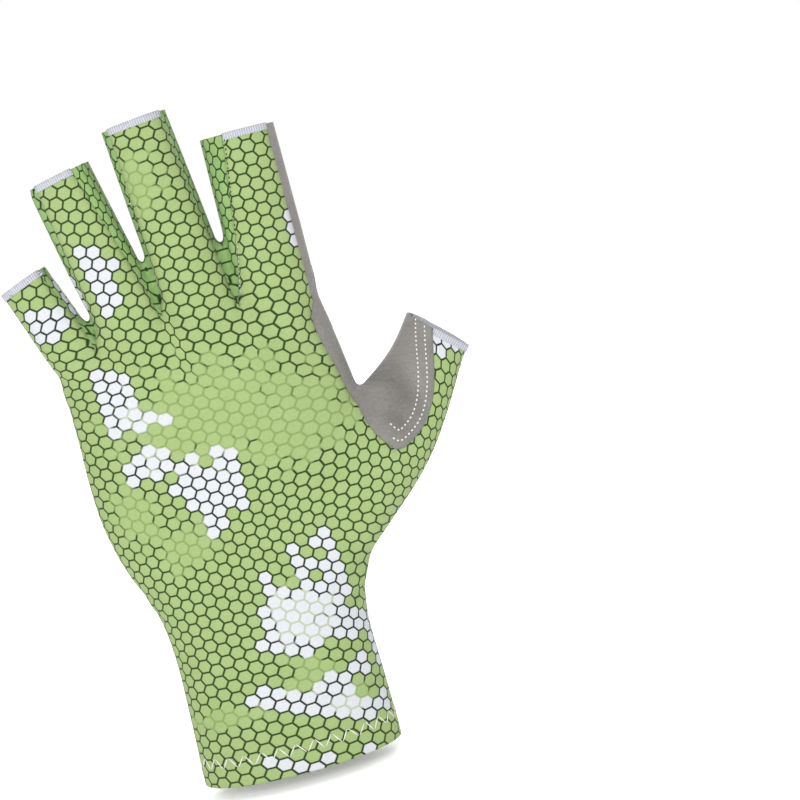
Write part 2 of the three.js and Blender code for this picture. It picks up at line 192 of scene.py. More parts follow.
def blurred(places, values, blur):
    """Rings at every step of the sleeve, each column blurred over a few millimetres."""
    steps = np.arange(places[0], places[-1] + RING_STEP / 2, RING_STEP)
    spread = np.arange(-3 * blur, 3 * blur + 1e-6, RING_STEP)
    weight = np.exp(-0.5 * (spread / blur) ** 2)
    out = {}
    for name, column in values.items():
        many = np.interp(steps[:, None] + spread, places, column)
        out[name] = (many * weight).sum(1) / weight.sum()
    return steps, out


def hand_rings():
    table = columns(HAND_COLUMNS, HAND_RINGS)
    half_width = table["cuff"] * CUFF_WIDTH / 2 + (1 - table["cuff"]) * HALF_HAND
    half_depth = (table["cuff"] * CUFF_DEPTH + (1 - table["cuff"]) * HAND_DEPTH) / 2
    sizes = {"left": table["left"] * half_width, "right": table["right"] * half_width,
             "deep": table["deep"] * half_depth, "square": table["square"]}
    return blurred(table["up"] * PALM_LENGTH, sizes, HAND_BLUR)


def finger_rings(finger):
    table = columns(FINGER_COLUMNS, FINGER_RINGS)
    width = finger.root_width + (finger.mouth_width - finger.root_width) * table["along"]
    half = table["wide"] * width / 2
    sizes = {"shift": 0 * half, "left": half, "right": half, "deep": table["deep"] * finger.depth / 2}
    places = table["along"] * finger.length - table["sunk"] * finger.root_width
    return blurred(places, sizes, FINGER_BLUR)


def thumb_rings():
    table = columns(THUMB_COLUMNS, THUMB_RINGS)
    width = table["ball"] * THUMB.root_width + (1 - table["ball"]) * THUMB.mouth_width
    half = table["wide"] * width / 2
    sizes = {"shift": table["aside"] * THUMB.mouth_width, "left": half, "right": half,
             "deep": table["deep"] * THUMB.depth / 2}
    return blurred(table["along"] * THUMB.length, sizes, THUMB_BLUR)


def sleeve(bm, rings):
    """A closed tube through rings, each a (centre, aside direction, left, right, deep, exponent)."""
    before = None
    for number, (centre, aside, left, right, deep, exponent) in enumerate(rings):
        made = bmesh.ops.create_circle(bm, segments=RING_SIDES, radius=1)["verts"]
        for vertex in made:
            across, through = vertex.co.x, vertex.co.y
            wide = math.copysign(abs(across) ** (2 / exponent), across)
            wide *= left if across < 0 else right
            depth = math.copysign(abs(through) ** (2 / exponent), through) * deep
            vertex.co = (centre[0] + aside[0] * wide, depth, centre[1] + aside[1] * wide)
        loop = once(edge for vertex in made for edge in vertex.link_edges)
        if before:
            bmesh.ops.bridge_loops(bm, edges=before + loop)
        if number in (0, len(rings) - 1):
            bmesh.ops.holes_fill(bm, edges=loop, sides=0)
        before = loop


def digit_sleeve(bm, digit, rings, exponent):
    """A digit's tube, which runs on a little past its mouth."""
    places, sizes = rings
    rows = [(digit.point(place, sizes["shift"][i]), digit.aside, sizes["left"][i], sizes["right"][i],
             sizes["deep"][i], exponent) for i, place in enumerate(places)]
    end = (digit.point(digit.length + PAST_OPENING, sizes["shift"][-1]),) + rows[-1][1:]
    sleeve(bm, rows + [end])


hand_places, hand_sizes = hand_rings()
tubes = bmesh.new()
hand_rows = [((0, place), (1, 0), hand_sizes["left"][i], hand_sizes["right"][i],
              hand_sizes["deep"][i], hand_sizes["square"][i]) for i, place in enumerate(hand_places)]
sleeve(tubes, [((0, -PAST_OPENING),) + hand_rows[0][1:]] + hand_rows)
for finger in FINGERS:
    digit_sleeve(tubes, finger, finger_rings(finger), FINGER_EXPONENT)
digit_sleeve(tubes, THUMB, thumb_rings(), THUMB_EXPONENT)
bmesh.ops.recalc_face_normals(tubes, faces=tubes.faces)
print("sleeves:", len(tubes.faces), "faces")

# %% [markdown]
# ## One skin
# The six sleeves pass through each other. A boolean would leave sharp creases where they meet, but
# cloth runs from the hand into a finger in one soft hollow. A voxel remesh joins the tubes into one
# even skin and a few rounds of smoothing soften the valleys, as pulled cloth does.

# %% Remesh and smooth
VOXEL = 0.95
SOFT_ROUNDS = 7


def mesh_of(bm, name):
    """A new mesh with what a bmesh holds."""
    mesh = bpy.data.meshes.new(name)
    bm.to_mesh(mesh)
    return mesh


def remeshed(bm, size):
    """The outer skin of all closed shells in bm, in even quads."""
    rough = bpy.data.objects.new("rough", mesh_of(bm, "rough"))
    bpy.context.scene.collection.objects.link(rough)
    step = rough.modifiers.new("remesh", "REMESH")
    step.mode = "VOXEL"
    step.voxel_size = size
    step.adaptivity = 0
    graph = bpy.context.evaluated_depsgraph_get()
    mesh = bpy.data.meshes.new_from_object(rough.evaluated_get(graph))
    out = bmesh.new()
    out.from_mesh(mesh)
    bpy.data.objects.remove(rough)
    return out


skin = remeshed(tubes, VOXEL)
tubes.free()
for _ in range(SOFT_ROUNDS):
    bmesh.ops.smooth_vert(skin, verts=skin.verts, factor=0.5, use_axis_x=True, use_axis_y=True,
                          use_axis_z=True)
print("skin:", len(skin.verts), "vertices")

# %% [markdown]
# ## Mouths and hem
# Every tube is open: the fingers at their mouths and the hand at the wrist. Each opening is a
# straight cut across its tube, and only the faces near it are cut, so that a plane through one mouth
# doesn't reach the neighbouring finger.

# %% Cut the openings
NEAR_DIGIT = 0.75
CUT_REACH = 8.0


def spots(bm):
    """The places of all vertices, one row each."""
    return np.array([v.co for v in bm.verts], float).reshape(-1, 3)


def cut_end(bm, digit):
    """Takes away what lies past a digit's mouth."""
    length = digit.length
    along, aside = digit.local(spots(bm))
    near = (along > length - CUT_REACH) & (np.abs(aside) < digit.mouth_width * NEAR_DIGIT)
    chosen = [v for v, hit in zip(bm.verts, near) if hit]
    edges = once(e for v in chosen for e in v.link_edges)
    faces = once(f for v in chosen for f in v.link_faces)
    place = digit.point(length, 0)
    bmesh.ops.bisect_plane(bm, geom=chosen + edges + faces, plane_co=(place[0], 0, place[1]),
                           plane_no=(digit.way[0], 0, digit.way[1]), clear_outer=True)


for digit in FINGERS + (THUMB,):
    cut_end(skin, digit)
everything = list(skin.verts) + list(skin.edges) + list(skin.faces)
bmesh.ops.bisect_plane(skin, geom=everything, plane_co=(0, 0, 0), plane_no=(0, 0, -1),
                       clear_outer=True)
print("open skin:", len(skin.faces), "faces")

# %% [markdown]
# ## Seam lines as fields
# Where one panel ends and the next begins is easiest to say as a field: a number at each point that
# is above zero inside the panel and below it outside. An outline is drawn in X and Z by a few chosen
# points, smoothed, and the field is the distance to it. Edges that cross zero are split there, so
# the seam runs through the mesh as a clean line of edges.

# %% Fields and cuts
WEB_OUTLINE = (
    (0.9, 0.9), (0.97, 0.76), (1.03, 0.69), (1.075, 0.645), (1.17, 0.6), (1.245, 0.583),
    (1.36, 0.594), (1.5, 0.628), (1.6, 0.69), (1.685, 0.8), (1.8, 0.93), (1.3, 1),
)
GRIP_OUTLINE = (
    (-1.3, 0.885), (-0.78, 0.895), (-0.53, 0.923), (-0.2, 0.962), (-0.155, 1.01), (0.35, 1.06),
    (0.72, 1.06), (1.3, 0.96), (1.3, 0.86), (0.79, 0.846), (0.667, 0.814), (0.53, 0.819),
    (0.396, 0.838), (0.27, 0.846), (0.144, 0.833), (0.013, 0.808), (-0.08, 0.801), (-0.31, 0.814),
    (-0.456, 0.808), (-0.556, 0.776), (-0.593, 0.673), (-0.644, 0.59), (-0.616, 0.56),
    (-0.42, 0.532), (-0.267, 0.503), (-0.213, 0.466), (-0.222, 0.423), (-0.298, 0.385),
    (-0.467, 0.353), (-0.636, 0.336), (-0.793, 0.316), (-1.3, 0.29),
)
PAD_OUTLINE = (
    (1.044, 0.68), (1.2, 0.635), (1.2, 0.564), (1.05, 0.46), (0.889, 0.4), (0.667, 0.376),
    (0.48, 0.4), (0.31, 0.45), (0.284, 0.506), (0.38, 0.555), (0.6, 0.64), (0.82, 0.682),
)


def rounded(rows, steps=8):
    """A smooth closed line through an outline's points, which are shares of the hand."""
    points = np.array(rows, float) * (HALF_HAND, PALM_LENGTH)
    before, after = np.roll(points, 1, 0), np.roll(points, -1, 0)
    later = np.roll(points, -2, 0)
    line = []
    for share in np.arange(steps) / steps:
        a = 2 * points
        b = after - before
        c = 2 * before - 5 * points + 4 * after - later
        d = 3 * points - before - 3 * after + later
        line.append((a + b * share + c * share ** 2 + d * share ** 3) / 2)
    return np.stack(line, 1).reshape(-1, 2)


def inside(outline, where):
    """Distance to a closed outline in X and Z, above zero inside it."""
    flat = where[:, [0, 2]]
    start, end = outline, np.roll(outline, -1, 0)
    best = np.full(len(flat), 1e9)
    within = np.zeros(len(flat), bool)
    for a, b in zip(start, end):
        run = b - a
        share = np.clip(((flat - a) @ run) / max(run @ run, 1e-9), 0, 1)
        best = np.minimum(best, np.linalg.norm(flat - a - share[:, None] * run, axis=1))
        crosses = (a[1] > flat[:, 1]) != (b[1] > flat[:, 1])
        rise = run[1] if run[1] else 1e-9
        within ^= crosses & (flat[:, 0] < a[0] + (flat[:, 1] - a[1]) * run[0] / rise)
    return np.where(within, best, -best)


# A cut that comes this near to an edge's end, as a share of the edge, goes through the vertex there,
# so that no sliver is made.
SNAP_SHARE = 0.12


def cut_along(bm, field, reach=4.0):
    """Splits the mesh where a field is zero."""
    values = field(spots(bm))
    bm.verts.ensure_lookup_table()
    bm.verts.index_update()
    ends = np.array([(e.verts[0].index, e.verts[1].index) for e in bm.edges])
    a, b = values[ends[:, 0]], values[ends[:, 1]]
    crossing = np.nonzero((a * b < 0) & (np.abs(a) < reach) & (np.abs(b) < reach))[0]
    bm.edges.ensure_lookup_table()
    edges = [bm.edges[i] for i in crossing]
    fresh = []
    for edge, i in zip(edges, crossing):
        share = a[i] / (a[i] - b[i])
        if share < SNAP_SHARE:
            fresh.append(edge.verts[0])
        elif share > 1 - SNAP_SHARE:
            fresh.append(edge.verts[1])
        else:
            fresh.append(bmesh.utils.edge_split(edge, edge.verts[0], share)[1])
    bmesh.ops.connect_verts(bm, verts=once(fresh))
    bm.verts.index_update()


# %% [markdown]
# ## Where the seams run
# The strip between two fingers shows from the back as a narrow wedge on each side of the gap. It
# runs down to a point a little below the crotch. The table says how much of it shows beside each
# finger's mouth and beside its root.

# %% Outlines of the strips between the fingers
SEEN_COLUMNS = ("mouth_left", "mouth_right", "root_left", "root_right", "tip_below")
SEEN_FROM_BACK = {
    "little_ring": (1.7, 2.8, 1.0, 1.2, 8),
    "ring_middle": (5.3, 2.1, 1.6, 1.0, 8),
    "middle_index": (1.2, 7.6, 1.0, 2.6, 9),
}
SEEN_FROM_PALM = {
    "little_ring": (2.6, 2.6, 1.2, 1.2, 7),
    "ring_middle": (2.6, 2.6, 1.2, 1.2, 7),
    "middle_index": (2.2, 2.2, 1.0, 1.0, 6),
}
GAPS = ((LITTLE, RING), (RING, MIDDLE), (MIDDLE, INDEX))
CROTCHES = {"little_ring": (-29, 152.5), "ring_middle": (-6.3, 158), "middle_index": (18, 157)}
ROOT_RISE = 6.0


def strip_outline(left, right, seen):
    """The wedge between two seams, as it shows from the back or from the palm."""
    name = f"{left.name}_{right.name}"
    row = dict(zip(SEEN_COLUMNS, seen[name]))
    crotch = np.array(CROTCHES[name], float)
    corners = [
        crotch - (0, row["tip_below"]),
        right.point(ROOT_RISE, -right.root_width / 2 + row["root_right"]),
        right.point(right.length, -right.mouth_width / 2 + row["mouth_right"]),
        right.point(right.length + PAST_OPENING, -right.mouth_width / 2 + row["mouth_right"]),
        left.point(left.length + PAST_OPENING, left.mouth_width / 2 - row["mouth_left"]),
        left.point(left.length, left.mouth_width / 2 - row["mouth_left"]),
        left.point(ROOT_RISE, left.root_width / 2 - row["root_left"]),
    ]
    return np.array(corners)


def strip_field(left, right):
    """Above zero on the strip between two fingers, on both sides of the hand."""
    back = strip_outline(left, right, SEEN_FROM_BACK)
    palm = strip_outline(left, right, SEEN_FROM_PALM)
    return lambda where: np.where(where[:, 1] < 0, inside(back, where), inside(palm, where))


WEB_SEEN = 2.0
WEB_HALF = 5.5
web_line = rounded(WEB_OUTLINE)


def web_field(where):
    """Suede web: a strip up the index finger's side and a patch down to the thumb."""
    along, aside = INDEX.local(where)
    half = INDEX.root_width / 2 + (INDEX.mouth_width - INDEX.root_width) / 2 * along / INDEX.length
    low = where[:, 2] - (PALM_LENGTH - HAND_DEPTH)
    back_strip = np.minimum(aside - half + WEB_SEEN, low)
    palm_strip = np.minimum(np.minimum(WEB_HALF - where[:, 1], aside), low)
    strip = np.where(where[:, 1] < 0, back_strip, palm_strip)
    patch = np.minimum(inside(web_line, where), WEB_HALF * 0.8 - where[:, 1])
    return np.maximum(strip, patch)


gap_fields = {f"fourchette_{a.name}_{b.name}": strip_field(a, b) for a, b in GAPS}

# %% [markdown]
# ## Where the suede lies
# Embossed suede is laid over the palm as one C: the palm side of the middle and index finger, a band
# under the knuckles, the outer edge of the palm and a lobe at the heel. An oval pad covers the ball
# of the thumb. Both stop a little before the side seam.

# %% Outlines of the grip and the pad
GRIP_LOW = 140.0
GRIP_SIDE_HEIGHTS = (0, 150, 168)
GRIP_SIDE_DEPTHS = (1.5, 3.15, 6.3)
PAD_SIDE_DEPTH = 2.0
MOUTH_GAP_OF_GRIP = 2.4
PAST_GRIP = 3 * INDEX.length
grip_line = rounded(GRIP_OUTLINE)
pad_line = rounded(PAD_OUTLINE)
between_ring_and_middle = (RING.root[0] + MIDDLE.root[0]) / 2
grip_fingers = np.array([
    (between_ring_and_middle, GRIP_LOW),
    (between_ring_and_middle, MIDDLE.root[1] - 3),
    MIDDLE.point(MIDDLE.length + PAST_OPENING, -MIDDLE.mouth_width / 2 - MOUTH_GAP_OF_GRIP),
    INDEX.point(PAST_GRIP, INDEX.root_width),
    (INDEX.root[0] + INDEX.root_width / 2, GRIP_LOW),
])


def grip_shape(where):
    """The C of the grip, and the panel that runs up both fingers."""
    return np.maximum(inside(grip_line, where), inside(grip_fingers, where))


def grip_field(where):
    side = np.interp(where[:, 2], GRIP_SIDE_HEIGHTS, GRIP_SIDE_DEPTHS)
    return np.minimum(grip_shape(where), where[:, 1] - side)


def pad_field(where):
    return np.minimum(inside(pad_line, where), where[:, 1] - PAD_SIDE_DEPTH)


# %% [markdown]
# ## Edges at the mouths and the cuff
# Each printed mouth has a narrow ribbed edging, and the cuff is folded in and caught by a zigzag
# stitch. Both need a clean line of edges too.

# %% Lines along the mouths and the hem, and all the cuts
EDGING_HEIGHT = 1.9
HEM_HEIGHT = 9.0
FAR_AWAY = 99.0


def edging_field(digit):
    """Above zero in the last few millimetres before a digit's mouth."""
    def field(where):
        along, aside = digit.local(where)
        near = np.abs(aside) < digit.mouth_width * NEAR_DIGIT
        return np.where(near, along - digit.length + EDGING_HEIGHT, -FAR_AWAY)
    return field


for field in gap_fields.values():
    cut_along(skin, field)
cut_along(skin, web_field)
cut_along(skin, lambda where: where[:, 1])
cut_along(skin, grip_field)
cut_along(skin, pad_field)
for digit in FINGERS + (THUMB,):
    cut_along(skin, edging_field(digit), 2.0)
cut_along(skin, lambda where: HEM_HEIGHT - where[:, 2])
print("cut skin:", len(skin.faces), "faces")

# %% [markdown]
# ## The relaxed hand
# A worn glove isn't flat: the fingers and the thumb drop towards the palm and the knuckles make a
# low arch. Every point moves towards the palm by a smooth amount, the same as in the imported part.

# %% Bend
FINGER_CURL, THUMB_DROP, KNUCKLE_ARCH = 7.5, 12.0, 4.0
KNUCKLES_UP = 0.88
ARCH_FROM, ARCH_TO = 0.25, 0.85
WIDEST_ARCH = 1.2
THUMB_SIDE = (-2.6, -0.2)


def smoothstep(value, low, high):
    """Rises softly from 0 at low to 1 at high."""
    share = np.clip((value - low) / (high - low), 0, 1)
    return share * share * (3 - 2 * share)


def towards_palm(where):
    """How far each point moves towards the palm."""
    x, z = where[:, 0], where[:, 2]
    tallest = MIDDLE.root[1] + MIDDLE.length
    knuckles = PALM_LENGTH * KNUCKLES_UP
    reach = np.maximum(0, (z - knuckles) / (tallest - knuckles))
    across = np.minimum(WIDEST_ARCH, np.abs(x) / HALF_HAND)
    height = smoothstep(z, PALM_LENGTH * ARCH_FROM, PALM_LENGTH * ARCH_TO)
    along, aside = THUMB.local(where)
    near = smoothstep(aside / THUMB.mouth_width, *THUMB_SIDE)
    arch = KNUCKLE_ARCH * across ** 2 * height * (1 - near)
    drop = THUMB_DROP * np.maximum(0, along / THUMB.length) ** 2 * near
    return FINGER_CURL * reach ** 2 + arch + drop


# %% [markdown]
# ## Cloth coordinates
# The print belongs to the cloth, not to space, so every point gets its place on the cloth in
# millimetres: how far round the sleeve it lies and how far up. A worn glove stretches its cloth, and
# the print shows how: it is spread round the knuckles and the ball of the thumb, and gathered at
# the wrist. A few values tell how the print lies on the hand and on each digit, and near the roots
# the two ways of counting are mixed.

# %% Cloth coordinates
PITCH = 4.15
PRINT_COLUMNS = ("up", "middle", "spread")
PRINT_ON_HAND = ((0, -4, 0.78), (0.2, -3, 0.83), (0.48, 0, 0.98), (0.75, 0, 0.84), (1, 5, 0.87))
PRINT_START = -100.0
ROW_SPREAD = 1.026
ROWS_FALL = 0.035
DIGIT_PRINT_COLUMNS = ("start_across", "start_up", "across", "up")
PRINT_ON_DIGITS = {
    "little": (-29, 57.5, 0.84, 1), "ring": (-11, 61, 0.9, 1), "middle": (11.5, 60, 0.84, 1.03),
    "index": (30, 58, 0.92, 1.02),
}
THUMB_PRINT_START = (17.0, -26.0)
THUMB_PRINT_SPREAD = (1.28, 0.9)
PALM_SPREAD = (0.9, 1.06)
PALM_OFFSET = 300.0
BLEND_LOW, BLEND_HIGH = 120.0, 162.0
FINGER_REACH = 15.0
# From where to where, in millimetres along and aside of the thumb, the counting changes over.
FLAT_ALONG, FLAT_ASIDE = (-12, 6), (-34, -14)
THUMB_ALONG, THUMB_ASIDE = (6, 44), (-34, -6)
ABOVE_THUMB = (130, 142)


def arc_table(left, right, deep, square, count=128):
    """Distance round a ring from its middle line, at even angles, to the left and to the right."""
    angles = np.linspace(0, math.pi / 2, count)
    out = []
    for half in (left, right):
        x = half[:, None] * np.sin(angles) ** (2 / square[:, None])
        y = deep[:, None] * np.cos(angles) ** (2 / square[:, None])
        steps = np.hypot(np.diff(x, axis=1), np.diff(y, axis=1))
        out.append(np.concatenate([np.zeros((len(half), 1)), np.cumsum(steps, 1)], 1))
    return angles, out


def round_the_ring(places, sizes, square, spot, aside, depth):
    """Signed distance round a sleeve from its middle line, for each point."""
    angles, tables = arc_table(sizes["left"], sizes["right"], sizes["deep"], square)
    ring = np.clip(np.interp(spot, places, np.arange(len(places))), 0, len(places) - 1.001)
    low = ring.astype(int)
    part = ring - low
    half = np.where(aside < 0, np.interp(spot, places, sizes["left"]),
                    np.interp(spot, places, sizes["right"]))
    deep = np.interp(spot, places, sizes["deep"])
    power = np.interp(spot, places, square) / 2
    angle = np.arctan2((np.abs(aside) / half) ** power, (np.abs(depth) / deep) ** power)
    column = angle / angles[-1] * (len(angles) - 1.001)
    first = np.clip(column.astype(int), 0, len(angles) - 2)
    rest = column - first
    arc = np.zeros(len(spot))
    for table, side in zip(tables, (aside < 0, aside >= 0)):
        lower = table[low, first] * (1 - rest) + table[low, first + 1] * rest
        upper = table[low + 1, first] * (1 - rest) + table[low + 1, first + 1] * rest
        arc = np.where(side, lower * (1 - part) + upper * part, arc)
    return np.where(aside < 0, -arc, arc)


def digit_arc(digit, rings, exponent, where):
    """Distance round a digit from its middle line, and the distance along it."""
    places, sizes = rings
    along, aside = digit.local(where)
    shift = np.interp(along, places, sizes["shift"])
    square = np.full(len(places), exponent)
    return round_the_ring(places, sizes, square, along, aside - shift, where[:, 1]), along


def hand_cloth(where):
    """Beside the thumb the hand doesn't turn away, so the print is counted straight across."""
    arc = round_the_ring(hand_places, hand_sizes, hand_sizes["square"], where[:, 2], where[:, 0],
                         where[:, 1])
    along, aside = THUMB.local(where)
    flattened = smoothstep(aside, *FLAT_ASIDE) * smoothstep(along, *FLAT_ALONG)
    arc = arc * (1 - flattened) + where[:, 0] * flattened
    table = columns(PRINT_COLUMNS, PRINT_ON_HAND)
    share = where[:, 2] / PALM_LENGTH
    middle = np.interp(share, table["up"], table["middle"])
    spread = np.interp(share, table["up"], table["spread"])
    rows = PRINT_START + ROW_SPREAD * where[:, 2] - ROWS_FALL * arc
    return np.stack([middle + spread * arc, rows], 1)


def finger_cloth(finger, where):
    """The print on a finger is counted round it and up from its root."""
    row = dict(zip(DIGIT_PRINT_COLUMNS, PRINT_ON_DIGITS[finger.name]))
    arc, along = digit_arc(finger, FINGER_SLEEVES[finger.name], FINGER_EXPONENT, where)
    across = row["start_across"] + row["across"] * arc
    return np.stack([across, row["start_up"] + row["up"] * along], 1)


def thumb_cloth(where):
    """The thumb is cut in one with the hand, so its print keeps the hand's direction."""
    arc, along = digit_arc(THUMB, THUMB_SLEEVE, THUMB_EXPONENT, where)
    straight = THUMB.local(where)[1] - np.interp(along, THUMB_SLEEVE[0], THUMB_SLEEVE[1]["shift"])
    arc = np.where(straight < 0, straight, arc)
    across = along * THUMB.way[0] + arc * THUMB.aside[0]
    up = along * THUMB.way[1] + arc * THUMB.aside[1]
    return np.stack([across, up], 1) * THUMB_PRINT_SPREAD + THUMB_PRINT_START


FINGER_SLEEVES = {finger.name: finger_rings(finger) for finger in FINGERS}
THUMB_SLEEVE = thumb_rings()


def cloth_place(where):
    """Where each point of the skin lies on its flat cloth, in millimetres."""
    whole = hand_cloth(where)
    total = np.full(len(where), 1e-6)
    mixed = whole * 1e-6
    for finger in FINGERS:
        _, aside = finger.local(where)
        share = np.maximum(0, 1 - np.abs(aside) / FINGER_REACH) ** 2
        mixed = mixed + share[:, None] * finger_cloth(finger, where)
        total = total + share
    up = smoothstep(where[:, 2], BLEND_LOW, BLEND_HIGH)[:, None]
    whole = whole * (1 - up) + mixed / total[:, None] * up
    along, aside = THUMB.local(where)
    on_thumb = smoothstep(along, *THUMB_ALONG) * smoothstep(aside, *THUMB_ASIDE)
    on_thumb = (on_thumb * (1 - smoothstep(where[:, 2], *ABOVE_THUMB)))[:, None]
    whole = whole * (1 - on_thumb) + thumb_cloth(where) * on_thumb
    on_palm = where[:, 1:2] > 0
    return np.where(on_palm, whole * PALM_SPREAD + (PALM_OFFSET, 0), whole)


print("cloth place of the middle:", cloth_place(np.array([(0.0, -14.0, 80.0)])).round(1))

# %% [markdown]
# ## Folds, seams and labels
# Pulled cloth isn't smooth. It puckers below each crotch, creases at the wrist where the hand bends,
# and sinks a little at each seam. The table names each crease by its two ends in X and Z. Each panel
# keeps the place of its points before the bend in a layer of its own, because the fields and the
# cloth coordinates are worked out there.

# %% Creases
CREASE_COLUMNS = ("from_x", "from_z", "to_x", "to_z", "deep", "wide")
BACK_CREASES = (
    (-29, 150, -30, 139, 0.9, 1.5), (-27.5, 149, -23, 141, 0.6, 1.4), (-31, 149, -37, 141, 0.6, 1.4),
    (-6.5, 155, -6.5, 143, 0.9, 1.6), (-5, 154, 0, 146, 0.6, 1.4), (-8, 154, -13, 145, 0.6, 1.4),
    (18, 153, 18.5, 140, 1.0, 1.7), (19, 152, 25, 144, 0.6, 1.5), (16.5, 152, 11, 144, 0.6, 1.5),
    (33, 57, 20, 50, 0.7, 2.2), (34, 50, 22, 46, 0.9, 2.0), (34, 44, 24, 42, 0.7, 1.8),
    (33, 63, 24, 60, 0.5, 2.0), (-37, 66, -28, 62, 0.6, 2.4), (-36, 57, -27, 56, 0.7, 2.4),
    (-44, 138, -36, 134, 0.6, 2.2), (-45, 128, -37, 127, 0.6, 2.4), (55, 113, 60, 95, 1.7, 6.5),
)
PALM_CREASES = (
    (-37, 64, -26, 62, 0.7, 2.4), (34, 58, 20, 54, 0.8, 2.4), (33, 49, 18, 47, 0.8, 2.2),
    (30, 66, 18, 60, 0.5, 2.4), (-29, 150, -30, 141, 0.7, 1.6), (50, 110, 42, 121, 0.6, 2.4),
)


# A crease is a groove between two low swellings, and it ends before the hand's side.
GROOVE, SWELLING = 1.25, 0.45
CREASE_FREE_SIDE = 5.0


def crease_depth(where, creases):
    """How deep all creases together press the cloth in at each point."""
    deep = np.zeros(len(where))
    flat = where[:, [0, 2]]
    for row in creases:
        crease = dict(zip(CREASE_COLUMNS, row))
        start = np.array((crease["from_x"], crease["from_z"]), float)
        run = np.array((crease["to_x"], crease["to_z"]), float) - start
        share = np.clip((flat - start) @ run / (run @ run), -0.3, 1)
        away = np.linalg.norm(flat - start - share[:, None] * run, axis=1) / crease["wide"]
        fade = 1 - smoothstep(share, 0.3, 1)
        profile = GROOVE * np.exp(-away ** 2) - SWELLING * np.exp(-(away / 2) ** 2)
        deep += crease["deep"] * fade * profile
    return deep * smoothstep(np.abs(where[:, 1]), 0, CREASE_FREE_SIDE)


# %% Shape and label the skin
SEAM_DEPTH, SEAM_WIDTH = 0.65, 0.9
HEM_STEP, HEM_SOFT = 0.2, 0.6
flat_places = spots(skin)
flat_tree = BVHTree.FromBMesh(skin)


def seam_distance(where):
    """Distance to the nearest seam line."""
    best = np.abs(web_field(where))
    on_side = web_field(where) > 0
    for field in gap_fields.values():
        best = np.minimum(best, np.abs(field(where)))
        on_side |= field(where) > 0
    return np.minimum(best, np.where(on_side, FAR_AWAY, np.abs(where[:, 1])))


skin.normal_update()
outward = np.array([v.normal for v in skin.verts], float)
sunk = SEAM_DEPTH * np.exp(-(seam_distance(flat_places) / SEAM_WIDTH) ** 2)
sunk += np.where(flat_places[:, 1] < 0, crease_depth(flat_places, BACK_CREASES),
                 crease_depth(flat_places, PALM_CREASES))
sunk -= HEM_STEP * smoothstep(HEM_HEIGHT + HEM_SOFT - flat_places[:, 2], 0, 2 * HEM_SOFT)
shaped = flat_places - outward * sunk[:, None]
shaped[:, 1] += towards_palm(flat_places)

flat_layer = skin.verts.layers.float_vector.new("flat")
number_layer = skin.verts.layers.int.new("number")
for number, vertex in enumerate(skin.verts):
    vertex[flat_layer] = flat_places[number]
    vertex[number_layer] = number
    vertex.co = shaped[number]
skin.normal_update()
outward = np.array([v.normal for v in skin.verts], float)

middles = np.array([np.mean([v[flat_layer] for v in f.verts], axis=0) for f in skin.faces])
labels = np.where(middles[:, 1] < 0, "back_panel", "palm_panel").astype("U32")
labels = np.where(web_field(middles) > 0, "web_panel", labels)
for name, field in gap_fields.items():
    labels = np.where(field(middles) > 0, name, labels)
print({name: int((labels == name).sum()) for name in sorted(set(labels))})

# %% [markdown]
# ## Finishes
# Colours are written as sRGB hex values, as an eyedropper shows them, and turned to linear light by
# one function. One function adds a node with its settings and links.

# %% Colour and node helpers
def linear(code):
    """An sRGB hex value as linear light."""
    parts = [int(code[i:i + 2], 16) / 255 for i in (1, 3, 5)]
    return tuple(c / 12.92 if c <= 0.04045 else ((c + 0.055) / 1.055) ** 2.4 for c in parts) + (1,)


def add(tree, kind, links=None, **settings):
    """One node with its settings; each link is a value or the socket that feeds the input."""
    node = tree.nodes.new(kind)
    for name, value in settings.items():
        setattr(node, name, value)
    for name, source in (links or {}).items():
        if isinstance(source, bpy.types.NodeSocket):
            tree.links.new(source, node.inputs[name])
        else:
            node.inputs[name].default_value = source
    return node


def new_material(name, roughness):
    """A material with its node tree and its shader."""
    made = bpy.data.materials.new(name)
    made.use_nodes = True
    shader = made.node_tree.nodes["Principled BSDF"]
    shader.inputs["Roughness"].default_value = roughness
    return made, made.node_tree, shader
